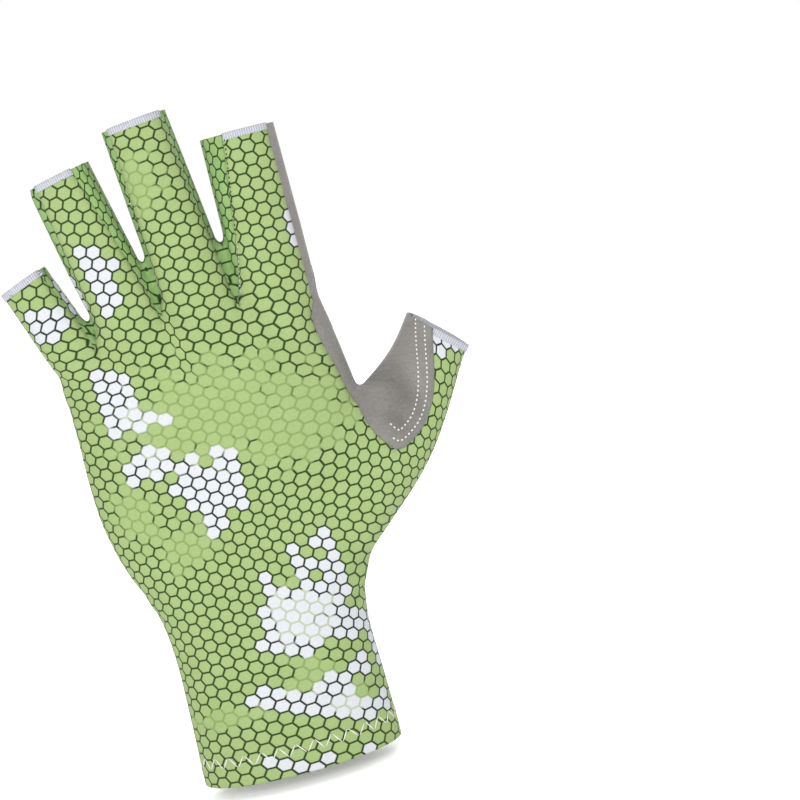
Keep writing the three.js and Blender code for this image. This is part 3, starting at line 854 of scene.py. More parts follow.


# %% [markdown]
# ## Where the print is white or faded
# The print is a plain honeycomb in two greens with white patches of whole cells and a few areas where
# the lines fade. The patches are charted as ellipses, each by its middle on the glove in X
# and Z and its half sizes in millimetres, and brought to the cloth by looking up the skin there.

# %% Patches
PATCH_COLUMNS = ("x", "z", "wide", "tall")
WHITE_ON_BACK = (
    (-43.5, 156.5, 6, 6.5), (-24, 173.5, 5, 4.6), (-21.5, 168, 5, 4.6), (-20, 163, 4.5, 4),
    (-22.5, 158, 2.6, 2.6), (-25.5, 131, 6.5, 6.5), (-28.5, 138.5, 2.2, 2.4), (-26, 122.5, 6, 5.5),
    (-17, 120.5, 4.5, 2.6), (-22.5, 106, 7.5, 5.5), (-9.5, 104, 4, 2.6), (1, 103.5, 3.5, 2.6),
    (-5, 97, 10.5, 5), (-3.5, 90.5, 9.5, 5), (-6, 83.5, 4, 3), (24, 71.5, 5, 2.2),
    (27, 66.5, 2.4, 2.4), (16.5, 66.5, 2.6, 4.2), (22, 62.5, 7, 2.6), (27, 54.5, 4.5, 7),
    (5, 61.5, 2.4, 3), (14, 54.5, 13, 5), (13, 47.5, 12, 5), (10.5, 41, 9, 4.4),
    (26, 42, 8, 5), (-2, 43, 2.6, 2.6), (32.5, 33, 6, 11), (-5, 26.5, 5, 3.4),
    (5, 22.5, 8, 3.4), (16, 19, 8, 4.4), (26, 13.5, 9, 3.9), (20, 26, 8, 3),
    (28, 26, 3, 4), (-9.5, 8, 2.1, 2.1), (-6, 6.4, 2.1, 2.1), (-2, 5, 2.1, 2.1),
    (2, 3.6, 2.1, 2.1), (6, 2.2, 2.1, 2.1), (10, 0.9, 2.1, 2.1), (20, 1.2, 2.1, 2.1),
    (24, 0.4, 2.1, 2.1), (39.6, 166.5, 2.4, 6), (78, 122, 8, 6),
)
FADED_ON_BACK = (
    (4, 118, 27, 15), (26, 108, 16, 12), (-19.5, 22.7, 10, 3.6), (10, 30, 6, 6),
    (12.6, 49, 8.5, 10), (-16, 79, 8, 8), (-3, 193, 7, 9), (-30, 92, 7, 10), (22, 18, 7, 4),
)
WHITE_ON_PALM = (
    (37, 125, 6, 4.4), (57, 105, 6, 8), (63, 93, 6, 6), (-26, 198, 4.4, 5), (-25, 190, 4.4, 5),
    (-23, 182, 4, 5), (-25, 50, 5, 5), (-15, 55, 7, 6), (-5, 61, 6, 7),
)
FADED_ON_PALM = (
    (12, 98, 26, 19), (30, 108, 14, 12), (22, 76, 12, 7), (-46, 160, 8, 8), (12, 34, 6, 9),
    (28, 44, 7, 6), (-2, 12, 7, 12),
)
FAR_OUT = 200.0


def on_cloth(patches, side):
    """The patches in cloth coordinates; side is -1 for the back and 1 for the palm."""
    out = []
    for row in patches:
        patch = dict(zip(PATCH_COLUMNS, row))
        start = Vector((patch["x"], side * FAR_OUT, patch["z"]))
        hit = flat_tree.ray_cast(start, Vector((0, -side, 0)))[0]
        place = cloth_place(np.array([hit if hit else (start.x, side, start.z)], float))[0]
        out.append((float(place[0]), float(place[1]), patch["wide"], patch["tall"]))
    return out


print("white patches:", len(WHITE_ON_BACK), "on the back,", len(WHITE_ON_PALM), "on the palm")

# %% [markdown]
# ## Printed stretch cloth
# The cloth is a thin knit of nylon and elastane, and its honeycomb is printed by sublimation, so the
# ink lies in the yarn and the cloth stays matt. A cell is found from the nearest point of a hexagonal
# lattice, which is made of two rectangular ones, and the distance to the cell's border draws the
# line. White is judged at the cell's centre, so a patch ends on whole cells, and the faded lines are
# judged at the point itself, so they fade softly. Stretch cloth shines only a little, because its
# loops scatter the light, so it is rough and has a weak sheen. The loops of such a knit are less than
# half a millimetre apart, too fine to show here, so its grain is drawn coarser.

# %% Honeycomb nodes
def honeycomb(tree, place, pitch):
    """The centre of the nearest cell and the distance to its border, in millimetres."""
    step = (math.sqrt(3) * pitch, pitch, 1)
    offset = (step[0] / 2, step[1] / 2, 0)
    half = tuple(s / 2 for s in step)
    other_half = (0, 0, 0.5)
    shifted = add(tree, "ShaderNodeVectorMath", {0: place, 1: half}, operation="ADD").outputs[0]
    first = add(tree, "ShaderNodeVectorMath", {0: shifted, 1: step}, operation="SNAP").outputs[0]
    moved = add(tree, "ShaderNodeVectorMath", {0: place, 1: other_half}, operation="ADD").outputs[0]
    corner = add(tree, "ShaderNodeVectorMath", {0: moved, 1: step}, operation="SNAP").outputs[0]
    second = add(tree, "ShaderNodeVectorMath", {0: corner, 1: offset}, operation="ADD").outputs[0]
    to_first = add(tree, "ShaderNodeVectorMath", {0: place, 1: first}, operation="DISTANCE")
    to_second = add(tree, "ShaderNodeVectorMath", {0: place, 1: second}, operation="DISTANCE")
    nearer = add(tree, "ShaderNodeMath", {0: to_second.outputs["Value"], 1: to_first.outputs["Value"]},
                 operation="LESS_THAN").outputs[0]
    pick = add(tree, "ShaderNodeMix", {0: nearer, 4: first, 5: second}, data_type="VECTOR")
    centre = pick.outputs[1]
    away = add(tree, "ShaderNodeVectorMath", {0: place, 1: centre}, operation="SUBTRACT").outputs[0]
    size = add(tree, "ShaderNodeVectorMath", {0: away}, operation="ABSOLUTE").outputs[0]
    slanted = add(tree, "ShaderNodeVectorMath", {0: size, 1: (math.sqrt(3) / 2, 0.5, 0)},
                  operation="DOT_PRODUCT").outputs["Value"]
    straight = add(tree, "ShaderNodeVectorMath", {0: size, 1: (0, 1, 0)},
                   operation="DOT_PRODUCT").outputs["Value"]
    reach = add(tree, "ShaderNodeMath", {0: slanted, 1: straight}, operation="MAXIMUM").outputs[0]
    return centre, add(tree, "ShaderNodeMath", {0: pitch / 2, 1: reach},
                       operation="SUBTRACT").outputs[0]


def nearest_patch(tree, place, patches):
    """How far a place is from the nearest ellipse, as a share of its size: 1 on its edge."""
    nearest = 9.0
    for across, up, wide, tall in patches:
        links = {0: place, 1: (1 / wide, 1 / tall, 0), 2: (-across / wide, -up / tall, 0)}
        away = add(tree, "ShaderNodeVectorMath", links, operation="MULTIPLY_ADD").outputs[0]
        share = add(tree, "ShaderNodeVectorMath", {0: away}, operation="LENGTH").outputs["Value"]
        nearest = add(tree, "ShaderNodeMath", {0: share, 1: nearest}, operation="MINIMUM").outputs[0]
    return nearest


# %% Printed cloth
PANEL_GREENS = ("#91a46e", "#889c63")
# The strips' greens are darker than the panels': painted shade between the fingers.
STRIP_GREENS_PAINTED_SHADE = ("#83a066", "#759558")
WHITE_CELL = "#bcbfc3"
GREEN_LINE, BLACK_LINE = "#1d330a", "#121d0b"
FADED_LINE, GREY_LINE = "#758b53", "#a0a894"
LINE_HALF = 0.3
LINE_SOFT = 0.13
KNIT_GRAIN = 0.7
GREEN_DRIFT = 9
FADE_EDGE = 5.0
FADE_WAVE = 2.4
FADE_FROM, FADE_TO = 0.8, 1.15
KNIT_DARK, KNIT_LIGHT = 0.94, 1.05
KNIT_ROUGHNESS, KNIT_SHEEN, KNIT_SPECULAR = 0.85, 0.05, 0.25


def printed_cloth(name, white, faded, greens=PANEL_GREENS):
    """The print: white and faded patches in cloth coordinates, and its two greens."""
    made, tree, shader = new_material(name, KNIT_ROUGHNESS)
    place = add(tree, "ShaderNodeUVMap", uv_map="cloth").outputs[0]
    centre, border = honeycomb(tree, place, PITCH)
    grain = add(tree, "ShaderNodeTexNoise", {"Vector": place, "Scale": 1 / KNIT_GRAIN, "Detail": 2.0})
    drift = add(tree, "ShaderNodeTexNoise", {"Vector": place, "Scale": 1 / GREEN_DRIFT,
                                             "Detail": 1.0})
    line = add(tree, "ShaderNodeMapRange", {0: border, 1: LINE_HALF - LINE_SOFT,
                                            2: LINE_HALF + LINE_SOFT, 3: 1.0, 4: 0.0}).outputs[0]
    is_white = add(tree, "ShaderNodeMath", {0: nearest_patch(tree, centre, white), 1: 1.0},
                   operation="LESS_THAN").outputs[0]
    ragged = add(tree, "ShaderNodeTexNoise", {"Vector": place, "Scale": 1 / FADE_EDGE, "Detail": 1.0})
    wavy = add(tree, "ShaderNodeMath", {0: ragged.outputs["Fac"], 1: FADE_WAVE,
                                        2: -FADE_WAVE / 2}, operation="MULTIPLY_ADD").outputs[0]
    to_faded = add(tree, "ShaderNodeMath", {0: nearest_patch(tree, place, faded), 1: wavy},
                   operation="ADD").outputs[0]
    is_faded = add(tree, "ShaderNodeMapRange", {0: to_faded, 1: FADE_FROM, 2: FADE_TO,
                                                3: 1.0, 4: 0.0}).outputs[0]
    green = add(tree, "ShaderNodeMix", {0: drift.outputs["Fac"], 6: linear(greens[1]),
                                        7: linear(greens[0])}, data_type="RGBA").outputs[2]
    cell = add(tree, "ShaderNodeMix", {0: is_white, 6: green, 7: linear(WHITE_CELL)},
               data_type="RGBA").outputs[2]
    dark = add(tree, "ShaderNodeMix", {0: is_white, 6: linear(GREEN_LINE), 7: linear(BLACK_LINE)},
               data_type="RGBA").outputs[2]
    pale = add(tree, "ShaderNodeMix", {0: is_white, 6: linear(FADED_LINE), 7: linear(GREY_LINE)},
               data_type="RGBA").outputs[2]
    ink = add(tree, "ShaderNodeMix", {0: is_faded, 6: dark, 7: pale}, data_type="RGBA").outputs[2]
    colour = add(tree, "ShaderNodeMix", {0: line, 6: cell, 7: ink}, data_type="RGBA").outputs[2]
    light = add(tree, "ShaderNodeMapRange", {0: grain.outputs["Fac"], 1: 0.3, 2: 0.7,
                                             3: KNIT_DARK, 4: KNIT_LIGHT}).outputs[0]
    final_colour = add(tree, "ShaderNodeVectorMath", {0: colour, "Scale": light},
               operation="SCALE").outputs[0]
    bump = add(tree, "ShaderNodeBump", {"Height": grain.outputs["Fac"], "Strength": 0.25,
                                        "Distance": 0.15 * MM}).outputs[0]
    tree.links.new(final_colour, shader.inputs["Base Color"])
    tree.links.new(bump, shader.inputs["Normal"])
    shader.inputs["Sheen Weight"].default_value = KNIT_SHEEN
    shader.inputs["Specular IOR Level"].default_value = KNIT_SPECULAR
    return made


back_print = printed_cloth("sublimation print on knit, back", on_cloth(WHITE_ON_BACK, -1),
                           on_cloth(FADED_ON_BACK, -1))
palm_print = printed_cloth("sublimation print on knit, palm", on_cloth(WHITE_ON_PALM, 1),
                           on_cloth(FADED_ON_PALM, 1))
# The strips are cut from the same cloth; their darker greens are painted shade between the fingers,
# and their patches are charted the same way.
strip_prints = {
    name: printed_cloth(f"sublimation print on knit, {name}", white, faded, STRIP_GREENS_PAINTED_SHADE)
    for name, white, faded in (
        ("fourchette_little_ring", [(3, 163, 9, 8)], [(6, 190, 6, 8)]),
        ("fourchette_ring_middle", [(12, 168, 5, 5)], [(4, 192, 7, 8)]),
        ("fourchette_middle_index", [], [(4, 178, 5, 5)]),
    )
}

# %% [markdown]
# ## Suede, edging and thread
# The grip is synthetic suede: a brushed microfibre, very rough, with a soft grain and slow mottling.
# The honeycomb on it is hot embossed, so its lines are pressed in and a little darker. The web is the
# same suede left plain, with painted shade that darkens it in the hollow between index finger and
# thumb. The edging is a ribbed knit tape and the stitches are white polyester thread.
# The inside of the cloth takes no ink, so it stays pale. A suede's nap is finer than the render can
# show and is drawn as a grain of nearly a millimetre. The tape's ribs are three quarters of one, and
# their hollows are painted darker as shade.

# %% Suede, edging, thread and reverse
EMBOSS_PITCH = 5.05
EMBOSS_HALF = 0.3
EMBOSS_DEPTH = 1.6
SUEDE_GRAIN = 0.9
MOTTLE = 9.0
SUEDE_DARK, SUEDE_LIGHT = 0.84, 1.12
SUEDE_ROUGHNESS, SUEDE_SHEEN = 0.95, 0.2
# Painted shade in the hollow of the web: how dark it gets, and the ellipses where it lies.
HOLLOW_SHADE_DARKEST = 0.68
WEB_HOLLOW_PAINTED_SHADE = ((52.5, 108, 6, 13), (49, 99, 5, 6))
RIB_PITCH = 0.75
# The ribs' hollows are painted darker than their tops: painted shade.
RIB_HOLLOW_PAINTED_SHADE, RIB_TOP = "#989aa2", "#bcbec5"


def suede(name, colour, pressed, embossed, hollow_shade_patches=()):
    """Suede, embossed or plain; the last argument holds the ellipses where painted shade darkens it.
    """
    made, tree, shader = new_material(name, SUEDE_ROUGHNESS)
    place = add(tree, "ShaderNodeUVMap", uv_map="cloth").outputs[0]
    grain = add(tree, "ShaderNodeTexNoise", {"Vector": place, "Scale": 1 / SUEDE_GRAIN, "Detail": 3.0})
    mottle = add(tree, "ShaderNodeTexNoise", {"Vector": place, "Scale": 1 / MOTTLE, "Detail": 2.0})
    height = grain.outputs["Fac"]
    groove = 0.0
    if embossed:
        border = honeycomb(tree, place, EMBOSS_PITCH)[1]
        groove = add(tree, "ShaderNodeMapRange", {0: border, 1: 0.1, 2: EMBOSS_HALF, 3: 1.0, 4: 0.0},
                     interpolation_type="SMOOTHSTEP").outputs[0]
        height = add(tree, "ShaderNodeMath", {0: groove, 1: -EMBOSS_DEPTH, 2: height},
                     operation="MULTIPLY_ADD").outputs[0]
    surface = add(tree, "ShaderNodeMix", {0: groove, 6: linear(colour), 7: linear(pressed)},
                  data_type="RGBA").outputs[2]
    both = add(tree, "ShaderNodeMath", {0: grain.outputs["Fac"], 1: mottle.outputs["Fac"]},
               operation="ADD").outputs[0]
    light = add(tree, "ShaderNodeMapRange", {0: both, 1: 0.7, 2: 1.3, 3: SUEDE_DARK,
                                             4: SUEDE_LIGHT}).outputs[0]
    # Painted shade: within the given ellipses the colour is darkened.
    near = add(tree, "ShaderNodeMath", {0: nearest_patch(tree, place, hollow_shade_patches), 1: light},
               operation="ADD").outputs[0]
    hollow_shade = add(tree, "ShaderNodeMapRange", {0: near, 1: 1.1, 2: 2.2, 3: HOLLOW_SHADE_DARKEST, 4: 1.0}).outputs[0]
    shade = add(tree, "ShaderNodeMath", {0: hollow_shade, 1: light}, operation="MULTIPLY").outputs[0]
    final_colour = add(tree, "ShaderNodeVectorMath", {0: surface, "Scale": shade},
               operation="SCALE").outputs[0]
    bump = add(tree, "ShaderNodeBump", {"Height": height, "Strength": 1.0,
                                        "Distance": 0.5 * MM}).outputs[0]
    tree.links.new(final_colour, shader.inputs["Base Color"])
    tree.links.new(bump, shader.inputs["Normal"])
    shader.inputs["Sheen Weight"].default_value = SUEDE_SHEEN
    return made


def ribbed_tape():
    """Off-white knit tape whose ribs run along the digit, with painted shade in the hollows between
    them.
    """
    made, tree, shader = new_material("ribbed knit tape", 0.85)
    place = add(tree, "ShaderNodeUVMap", uv_map="cloth").outputs[0]
    turned = add(tree, "ShaderNodeVectorMath", {0: place, 1: (2 * math.pi / RIB_PITCH, 0, 0)},
                 operation="DOT_PRODUCT").outputs["Value"]
    wave = add(tree, "ShaderNodeMath", {0: turned}, operation="SINE").outputs[0]
    shade = add(tree, "ShaderNodeMapRange", {0: wave, 1: -1.0, 2: 1.0, 3: 0.0, 4: 1.0}).outputs[0]
    colour = add(tree, "ShaderNodeMix", {0: shade, 6: linear(RIB_HOLLOW_PAINTED_SHADE), 7: linear(RIB_TOP)},
                 data_type="RGBA").outputs[2]
    bump = add(tree, "ShaderNodeBump", {"Height": wave, "Strength": 0.6,
                                        "Distance": 0.15 * MM}).outputs[0]
    tree.links.new(colour, shader.inputs["Base Color"])
    tree.links.new(bump, shader.inputs["Normal"])
    return made


def plain(name, colour, roughness):
    """An even, matt finish for what is too small or too plain to show a pattern."""
    made, tree, shader = new_material(name, roughness)
    shader.inputs["Base Color"].default_value = linear(colour)
    return made


embossed_suede = suede("hot embossed microfibre suede", "#898685", "#777473", True)
# The web's suede carries painted shade in its hollow.
plain_suede = suede("brushed microfibre suede", "#787571", "#777473", False, WEB_HOLLOW_PAINTED_SHADE)
tape = ribbed_tape()
thread = plain("spun polyester thread", "#d0cecb", 0.7)
grey_thread = plain("grey polyester thread", "#b9b6b4", 0.7)
# The dark dashes beside the index finger are painted seam shadow, not thread.
painted_seam_shadow = plain("dark green polyester thread", "#26331c", 0.7)
reverse = plain("unprinted reverse of the knit", "#c9cebd", 0.9)
print("materials:", len(bpy.data.materials))

# %% [markdown]
# ## Making a panel an object
# A panel is a copy of the skin with the other faces taken away. Its place on the cloth becomes its
# UV map, in millimetres, and a Solidify modifier gives the cloth its thickness, inwards. The inner
# side of printed cloth gets the pale reverse as a second material.

# %% Helpers for pieces
def cloth_map(bm, place_of, turned=0.0):
    """A UV map that holds the place on the cloth in millimetres, turned by an angle in degrees."""
    layer = bm.loops.layers.uv.new("cloth")
    flat = bm.verts.layers.float_vector["flat"]
    bm.verts.index_update()
    places = place_of(np.array([v[flat] for v in bm.verts], float).reshape(-1, 3))
    angle = math.radians(turned)
    turn_matrix = np.array(((math.cos(angle), -math.sin(angle)), (math.sin(angle), math.cos(angle))))
    places = places @ turn_matrix.T
    for face in bm.faces:
        for loop in face.loops:
            loop[layer].uv = places[loop.vert.index]


def finish_piece(bm, name, materials, nodes=(), thickness=0.0):
    """Turns millimetres to metres, makes the object, and hands it to the frame."""
    bmesh.ops.scale(bm, vec=(MM, MM, MM), verts=bm.verts)
    for face in bm.faces:
        face.smooth = True
    piece = bpy.data.objects.new(name, mesh_of(bm, name))
    bm.free()
    bpy.context.scene.collection.objects.link(piece)
    for material in materials:
        piece.data.materials.append(material)
    if thickness:
        wall = piece.modifiers.new("thickness", "SOLIDIFY")
        wall.thickness = thickness * MM
        wall.offset = -1
        wall.material_offset = len(materials) - 1
    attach(piece, "root")
    if nodes:
        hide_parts(*nodes)
    print(name, len(piece.data.polygons), "faces")
    return piece


def skin_part(keep):
    """A copy of the skin that keeps only the chosen faces."""
    part = skin.copy()
    part.faces.ensure_lookup_table()
    bmesh.ops.delete(part, geom=[f for f, kept in zip(part.faces, keep) if not kept],
                     context="FACES")
    return part


def lifted(part, heights):
    """Moves each point of a skin part outwards by its height."""
    number = part.verts.layers.int["number"]
    for vertex in part.verts:
        index = vertex[number]
        vertex.co += Vector(outward[index]) * float(heights[index])


# %% Panels of cloth and suede
STRIP_WIDENS = 0.09
CROTCH_SOFT = 3
EDGE_TURN, EDGE_TURN_HEIGHTS = 0.8, (135, 150)
WEB_TURN = 0.7


def side_place(crotch):
    """A strip is folded round its gap, so its print runs through the gap's depth and up.

    Below the crotch it lies flat on the hand, and there its print runs across the hand.
    """
    def place(where):
        aside = where[:, 0] - crotch[0]
        below = 1 - smoothstep(where[:, 2], crotch[1] - CROTCH_SOFT, crotch[1] + CROTCH_SOFT)
        across = where[:, 1] * (1 + STRIP_WIDENS * np.abs(aside) * (1 - below)) + aside * below
        return np.stack([across, where[:, 2]], 1)
    return place


def palm_place(where):
    """Suede on the palm is laid flat, and its pattern runs on round the outer edge of the hand."""
    deep = np.interp(where[:, 2], hand_places, hand_sizes["deep"])
    round_edge = (deep - where[:, 1]) * (1 - smoothstep(where[:, 2], *EDGE_TURN_HEIGHTS))
    return np.stack([where[:, 0] - EDGE_TURN * round_edge * (where[:, 0] < 0), where[:, 2]], 1)


def web_place(where):
    """The web turns from the back to the palm, so its grain is counted round that turn."""
    return np.stack([where[:, 0] + WEB_TURN * where[:, 1], where[:, 2]], 1)


back = skin_part(labels == "back_panel")
cloth_map(back, cloth_place)
finish_piece(back, "back_cloth", [back_print, reverse], ["back_panel"], CLOTH)
palm = skin_part(labels == "palm_panel")
cloth_map(palm, cloth_place)
finish_piece(palm, "palm_cloth", [palm_print, reverse], ["palm_panel"], CLOTH)
for name in gap_fields:
    strip = skin_part(labels == name)
    cloth_map(strip, side_place(CROTCHES[name.replace("fourchette_", "")]))
    finish_piece(strip, name.replace("fourchette", "strip"), [strip_prints[name], reverse],
                 [name], CLOTH)
web = skin_part(labels == "web_panel")
cloth_map(web, web_place)
finish_piece(web, "suede_web", [plain_suede], ["web_panel"], CLOTH)

# %% [markdown]
# ## Embossed overlays
# Suede that is stitched on top lies proud of the cloth, rounds off at its cut edge and sinks under
# its stitch line. So each overlay is another copy of the skin, lifted by a height that depends on
# the distance to its edge.

# %% Grip and thumb pad
SUEDE_LIFT, SUEDE_EDGE_LIFT, SUEDE_THICK = 0.95, 0.55, 0.75
SUEDE_EDGE = 0.9
STITCH_INSET = 2.7
STITCH_SINK, STITCH_SINK_WIDTH = 0.25, 0.8
GRIP_TURN, PAD_TURN = 10.0, -7.0
grip_values = grip_field(flat_places)
pad_values = pad_field(flat_places)


def suede_heights(values):
    """How far the overlay stands proud at each distance from its edge."""
    rise = smoothstep(values, 0, SUEDE_EDGE)
    groove = STITCH_SINK * np.exp(-((values - STITCH_INSET) / STITCH_SINK_WIDTH) ** 2)
    return SUEDE_EDGE_LIFT + (SUEDE_LIFT - SUEDE_EDGE_LIFT) * rise - groove


grip = skin_part(grip_field(middles) > 0)
lifted(grip, suede_heights(grip_values))
cloth_map(grip, palm_place, GRIP_TURN)
finish_piece(grip, "embossed_grip", [embossed_suede], ["grip_panel"], SUEDE_THICK)
pad = skin_part(pad_field(middles) > 0)
lifted(pad, suede_heights(pad_values))
cloth_map(pad, lambda where: where[:, [0, 2]], PAD_TURN)
finish_piece(pad, "embossed_thumb_pad", [embossed_suede], ["thumb_pad"],
             SUEDE_THICK)

# %% [markdown]
# ## Edging at the mouths
# Each printed mouth is bound by a narrow ribbed tape, folded over the raw edge. Here the tape is the
# last band of the skin, lifted a little and thick enough to lie on both sides of the cloth, and its
# outer edge stands a little past the mouth.

# %% Ribbed tape
TAPE_LIFT, TAPE_THICK, TAPE_PAST = 0.35, 1.4, 0.35
AT_MOUTH = 0.1
TAPES = (
    (LITTLE, "back_panel", "hem_strip_little_back"), (RING, "back_panel", "hem_strip_ring_back"),
    (MIDDLE, "back_panel", "hem_strip_middle_back"), (INDEX, "back_panel", "hem_strip_index_back"),
    (LITTLE, "palm_panel", "hem_strip_little_palm"), (RING, "palm_panel", "hem_strip_ring_palm"),
    (THUMB, "palm_panel", "hem_strip_thumb"),
)


def digit_place(digit):
    """Cloth coordinates whose first number runs straight across a digit."""
    def place(where):
        along, aside = digit.local(where)
        return np.stack([aside, along], 1)
    return place


for digit, panel, node in TAPES:
    on_digit = edging_field(digit)(middles) > 0
    if digit is THUMB:
        band = on_digit & np.isin(labels, ("palm_panel", "back_panel"))
    else:
        band = on_digit & (labels == panel)
    tape_part = skin_part(band)
    lifted(tape_part, np.full(len(outward), TAPE_LIFT))
    flat = tape_part.verts.layers.float_vector["flat"]
    for vertex in tape_part.verts:
        along = (vertex[flat][0] - digit.root[0]) * digit.way[0]
        along += (vertex[flat][2] - digit.root[1]) * digit.way[1]
        if along > digit.length - AT_MOUTH:
            vertex.co += Vector((digit.way[0], 0, digit.way[1])) * TAPE_PAST
    cloth_map(tape_part, digit_place(digit))
    finish_piece(tape_part, node.replace("hem_strip", "tape"), [tape], [node],
                 TAPE_THICK)

# %% [markdown]
# ## Folded cuff
# The cuff has no tape. Its cloth is turned in by a few millimetres and the fold is the edge, so a
# second layer lies inside it.

# %% Cuff hem
HEM_GAP = 0.1
hem = skin_part((middles[:, 2] < HEM_HEIGHT) & np.isin(labels, ("back_panel", "palm_panel")))
lifted(hem, np.full(len(outward), -CLOTH - HEM_GAP))
cloth_map(hem, cloth_place)
finish_piece(hem, "cuff_hem", [reverse], (), CLOTH)

# %% [markdown]
# ## Pull tab
# The tab is a strap of embossed suede, sewn to the palm side of the cuff, with rounded corners at the
# top. It starts as a flat grid. Each square of the grid's rings is drawn to a rounded rectangle, the
# strap is tapered, and it is laid on the palm by looking up the skin below each point. Past the hem
# it hangs straight down.

# %% Strap
TAB_WIDTH, TAB_END_WIDTH = 22.5, 17.0
TAB_HEIGHT, TAB_DROP = 29.0, 4.5
TAB_X, TAB_END_SHIFT, TAB_CORNER = 7.0, 1.5, 3.0
TAB_LIFT, TAB_THICK = 1.45, 1.1
TAB_TURN = -18.0
TAB_ROUNDS_OFF, TAB_ROUND_FROM = 0.3, 0.93
JUST_ABOVE_HEM = 0.3
TAB_LENGTH = TAB_HEIGHT + TAB_DROP


def tab_spot(across, up):
    """A place on the strap in X and Z; across and up run from -1 to 1."""
    half_wide, half_tall = TAB_WIDTH / 2, TAB_LENGTH / 2
    spot = np.array((across * half_wide, up * half_tall))
    core = np.clip(spot, (TAB_CORNER - half_wide, TAB_CORNER - half_tall),
                   (half_wide - TAB_CORNER, half_tall - TAB_CORNER))
    beyond = spot - core
    if up > 0 and min(np.abs(beyond)) > 0:
        spot = core + beyond / np.linalg.norm(beyond) * max(np.abs(beyond))
    share = (spot[1] + half_tall) / TAB_LENGTH
    wide = TAB_END_WIDTH + (TAB_WIDTH - TAB_END_WIDTH) * share
    middle = TAB_X + TAB_END_SHIFT * (1 - share)
    return middle + spot[0] * wide / TAB_WIDTH, spot[1] + half_tall - TAB_DROP


def palm_depth(x, z):
    """How far the palm's surface lies from the middle plane; below the hem it goes straight on."""
    start = Vector((x, FAR_OUT, max(z, JUST_ABOVE_HEM)))
    return flat_tree.ray_cast(start, Vector((0, -1, 0)))[0].y


tab = bmesh.new()
bmesh.ops.create_grid(tab, x_segments=28, y_segments=40, size=1)
tab_flat = tab.verts.layers.float_vector.new("flat")
for vertex in tab.verts:
    edge = max(abs(vertex.co.x), abs(vertex.co.y))
    x, z = tab_spot(vertex.co.x, vertex.co.y)
    round_off = TAB_ROUNDS_OFF * float(smoothstep(np.array(edge), TAB_ROUND_FROM, 1.0))
    vertex[tab_flat] = (x, 0, z)
    vertex.co = (x, palm_depth(x, z) + TAB_LIFT - round_off, z)
bmesh.ops.recalc_face_normals(tab, faces=tab.faces)
if sum(face.normal.y for face in tab.faces) < 0:
    bmesh.ops.reverse_faces(tab, faces=tab.faces)
cloth_map(tab, lambda where: where[:, [0, 2]], TAB_TURN)
finish_piece(tab, "pull_strap", [embossed_suede], ["pull_tab"], TAB_THICK)

# %% [markdown]
# ## Stitches
# A stitch is a short thread that dips at both ends. Its path is a line on the skin where some
# distance has a chosen value, so topstitching follows an edge at an even inset. The line is found by
# walking from face to face, and a small capsule is laid along it for every stitch.

# %% Lines on the skin
skin.edges.index_update()
skin.faces.index_update()
edge_ends = np.array([(e.verts[0].index, e.verts[1].index) for e in skin.edges])
face_edges = [[e.index for e in f.edges] for f in skin.faces]
edge_faces = [[f.index for f in e.link_faces] for e in skin.edges]


def level_lines(values, keep=None):
    """Chains of (place, outward) along which the values on the skin are zero."""
    a, b = values[edge_ends[:, 0]], values[edge_ends[:, 1]]
    crossing = (a > 0) != (b > 0)
    if keep is not None:
        crossing &= keep[edge_ends[:, 0]] & keep[edge_ends[:, 1]]
    links = {int(edge): [] for edge in np.nonzero(crossing)[0]}
    for face in {face for edge in links for face in edge_faces[edge]}:
        hit = [edge for edge in face_edges[face] if edge in links]
        if len(hit) == 2:
            links[hit[0]].append(hit[1])
            links[hit[1]].append(hit[0])
    chains = []
    unused = set(links)
    for first in sorted(links, key=lambda edge: (len(links[edge]), edge)):
        if first not in unused:
            continue
        chain = [first]
        unused.discard(first)
        while True:
            onward = [edge for edge in links[chain[-1]] if edge in unused]
            if not onward:
                break
            chain.append(onward[0])
            unused.discard(onward[0])
        closed = len(chain) > 3 and chain[0] in links[chain[-1]]
        rows = np.array(chain + chain[:1] if closed else chain)
        share = (a[rows] / (a[rows] - b[rows]))[:, None]
        ends = edge_ends[rows]
        place = shaped[ends[:, 0]] * (1 - share) + shaped[ends[:, 1]] * share
        normal = outward[ends[:, 0]] * (1 - share) + outward[ends[:, 1]] * share
        chains.append((place, normal))
    return chains


def evenly(chain, step):
    """Places and outward directions at even steps along a chain."""
    place, normal = chain
    lengths = np.linalg.norm(np.diff(place, axis=0), axis=1)
    run = np.concatenate([[0], np.cumsum(lengths)])
    count = int(run[-1] / step)
    at = np.linspace(0, run[-1], count + 1) if count else np.zeros(1)
    places = np.stack([np.interp(at, run, place[:, i]) for i in range(3)], 1)
    normals = np.stack([np.interp(at, run, normal[:, i]) for i in range(3)], 1)
    return places, normals


# %% Stitches along a line
THREAD = 0.5
THREAD_FLAT = 0.4
SHORTEST_ROW = 4.0


def add_stitch(bm, start, end, normal, thick=THREAD):
    """One capsule from start to end, a little flattened against the cloth."""
    way = Vector(end - start)
    length = way.length
    if length < 1e-3:
        return
    x = way.normalized()
    z = Vector(normal)
    z = (z - x * z.dot(x)).normalized()
    y = z.cross(x)
    frame_of = Matrix((x * length / 2, y * thick / 2, z * thick * THREAD_FLAT)).transposed().to_4x4()
    middle = Matrix.Translation(Vector((start + end) / 2))
    bmesh.ops.create_uvsphere(bm, u_segments=6, v_segments=5, radius=1, matrix=middle @ frame_of)


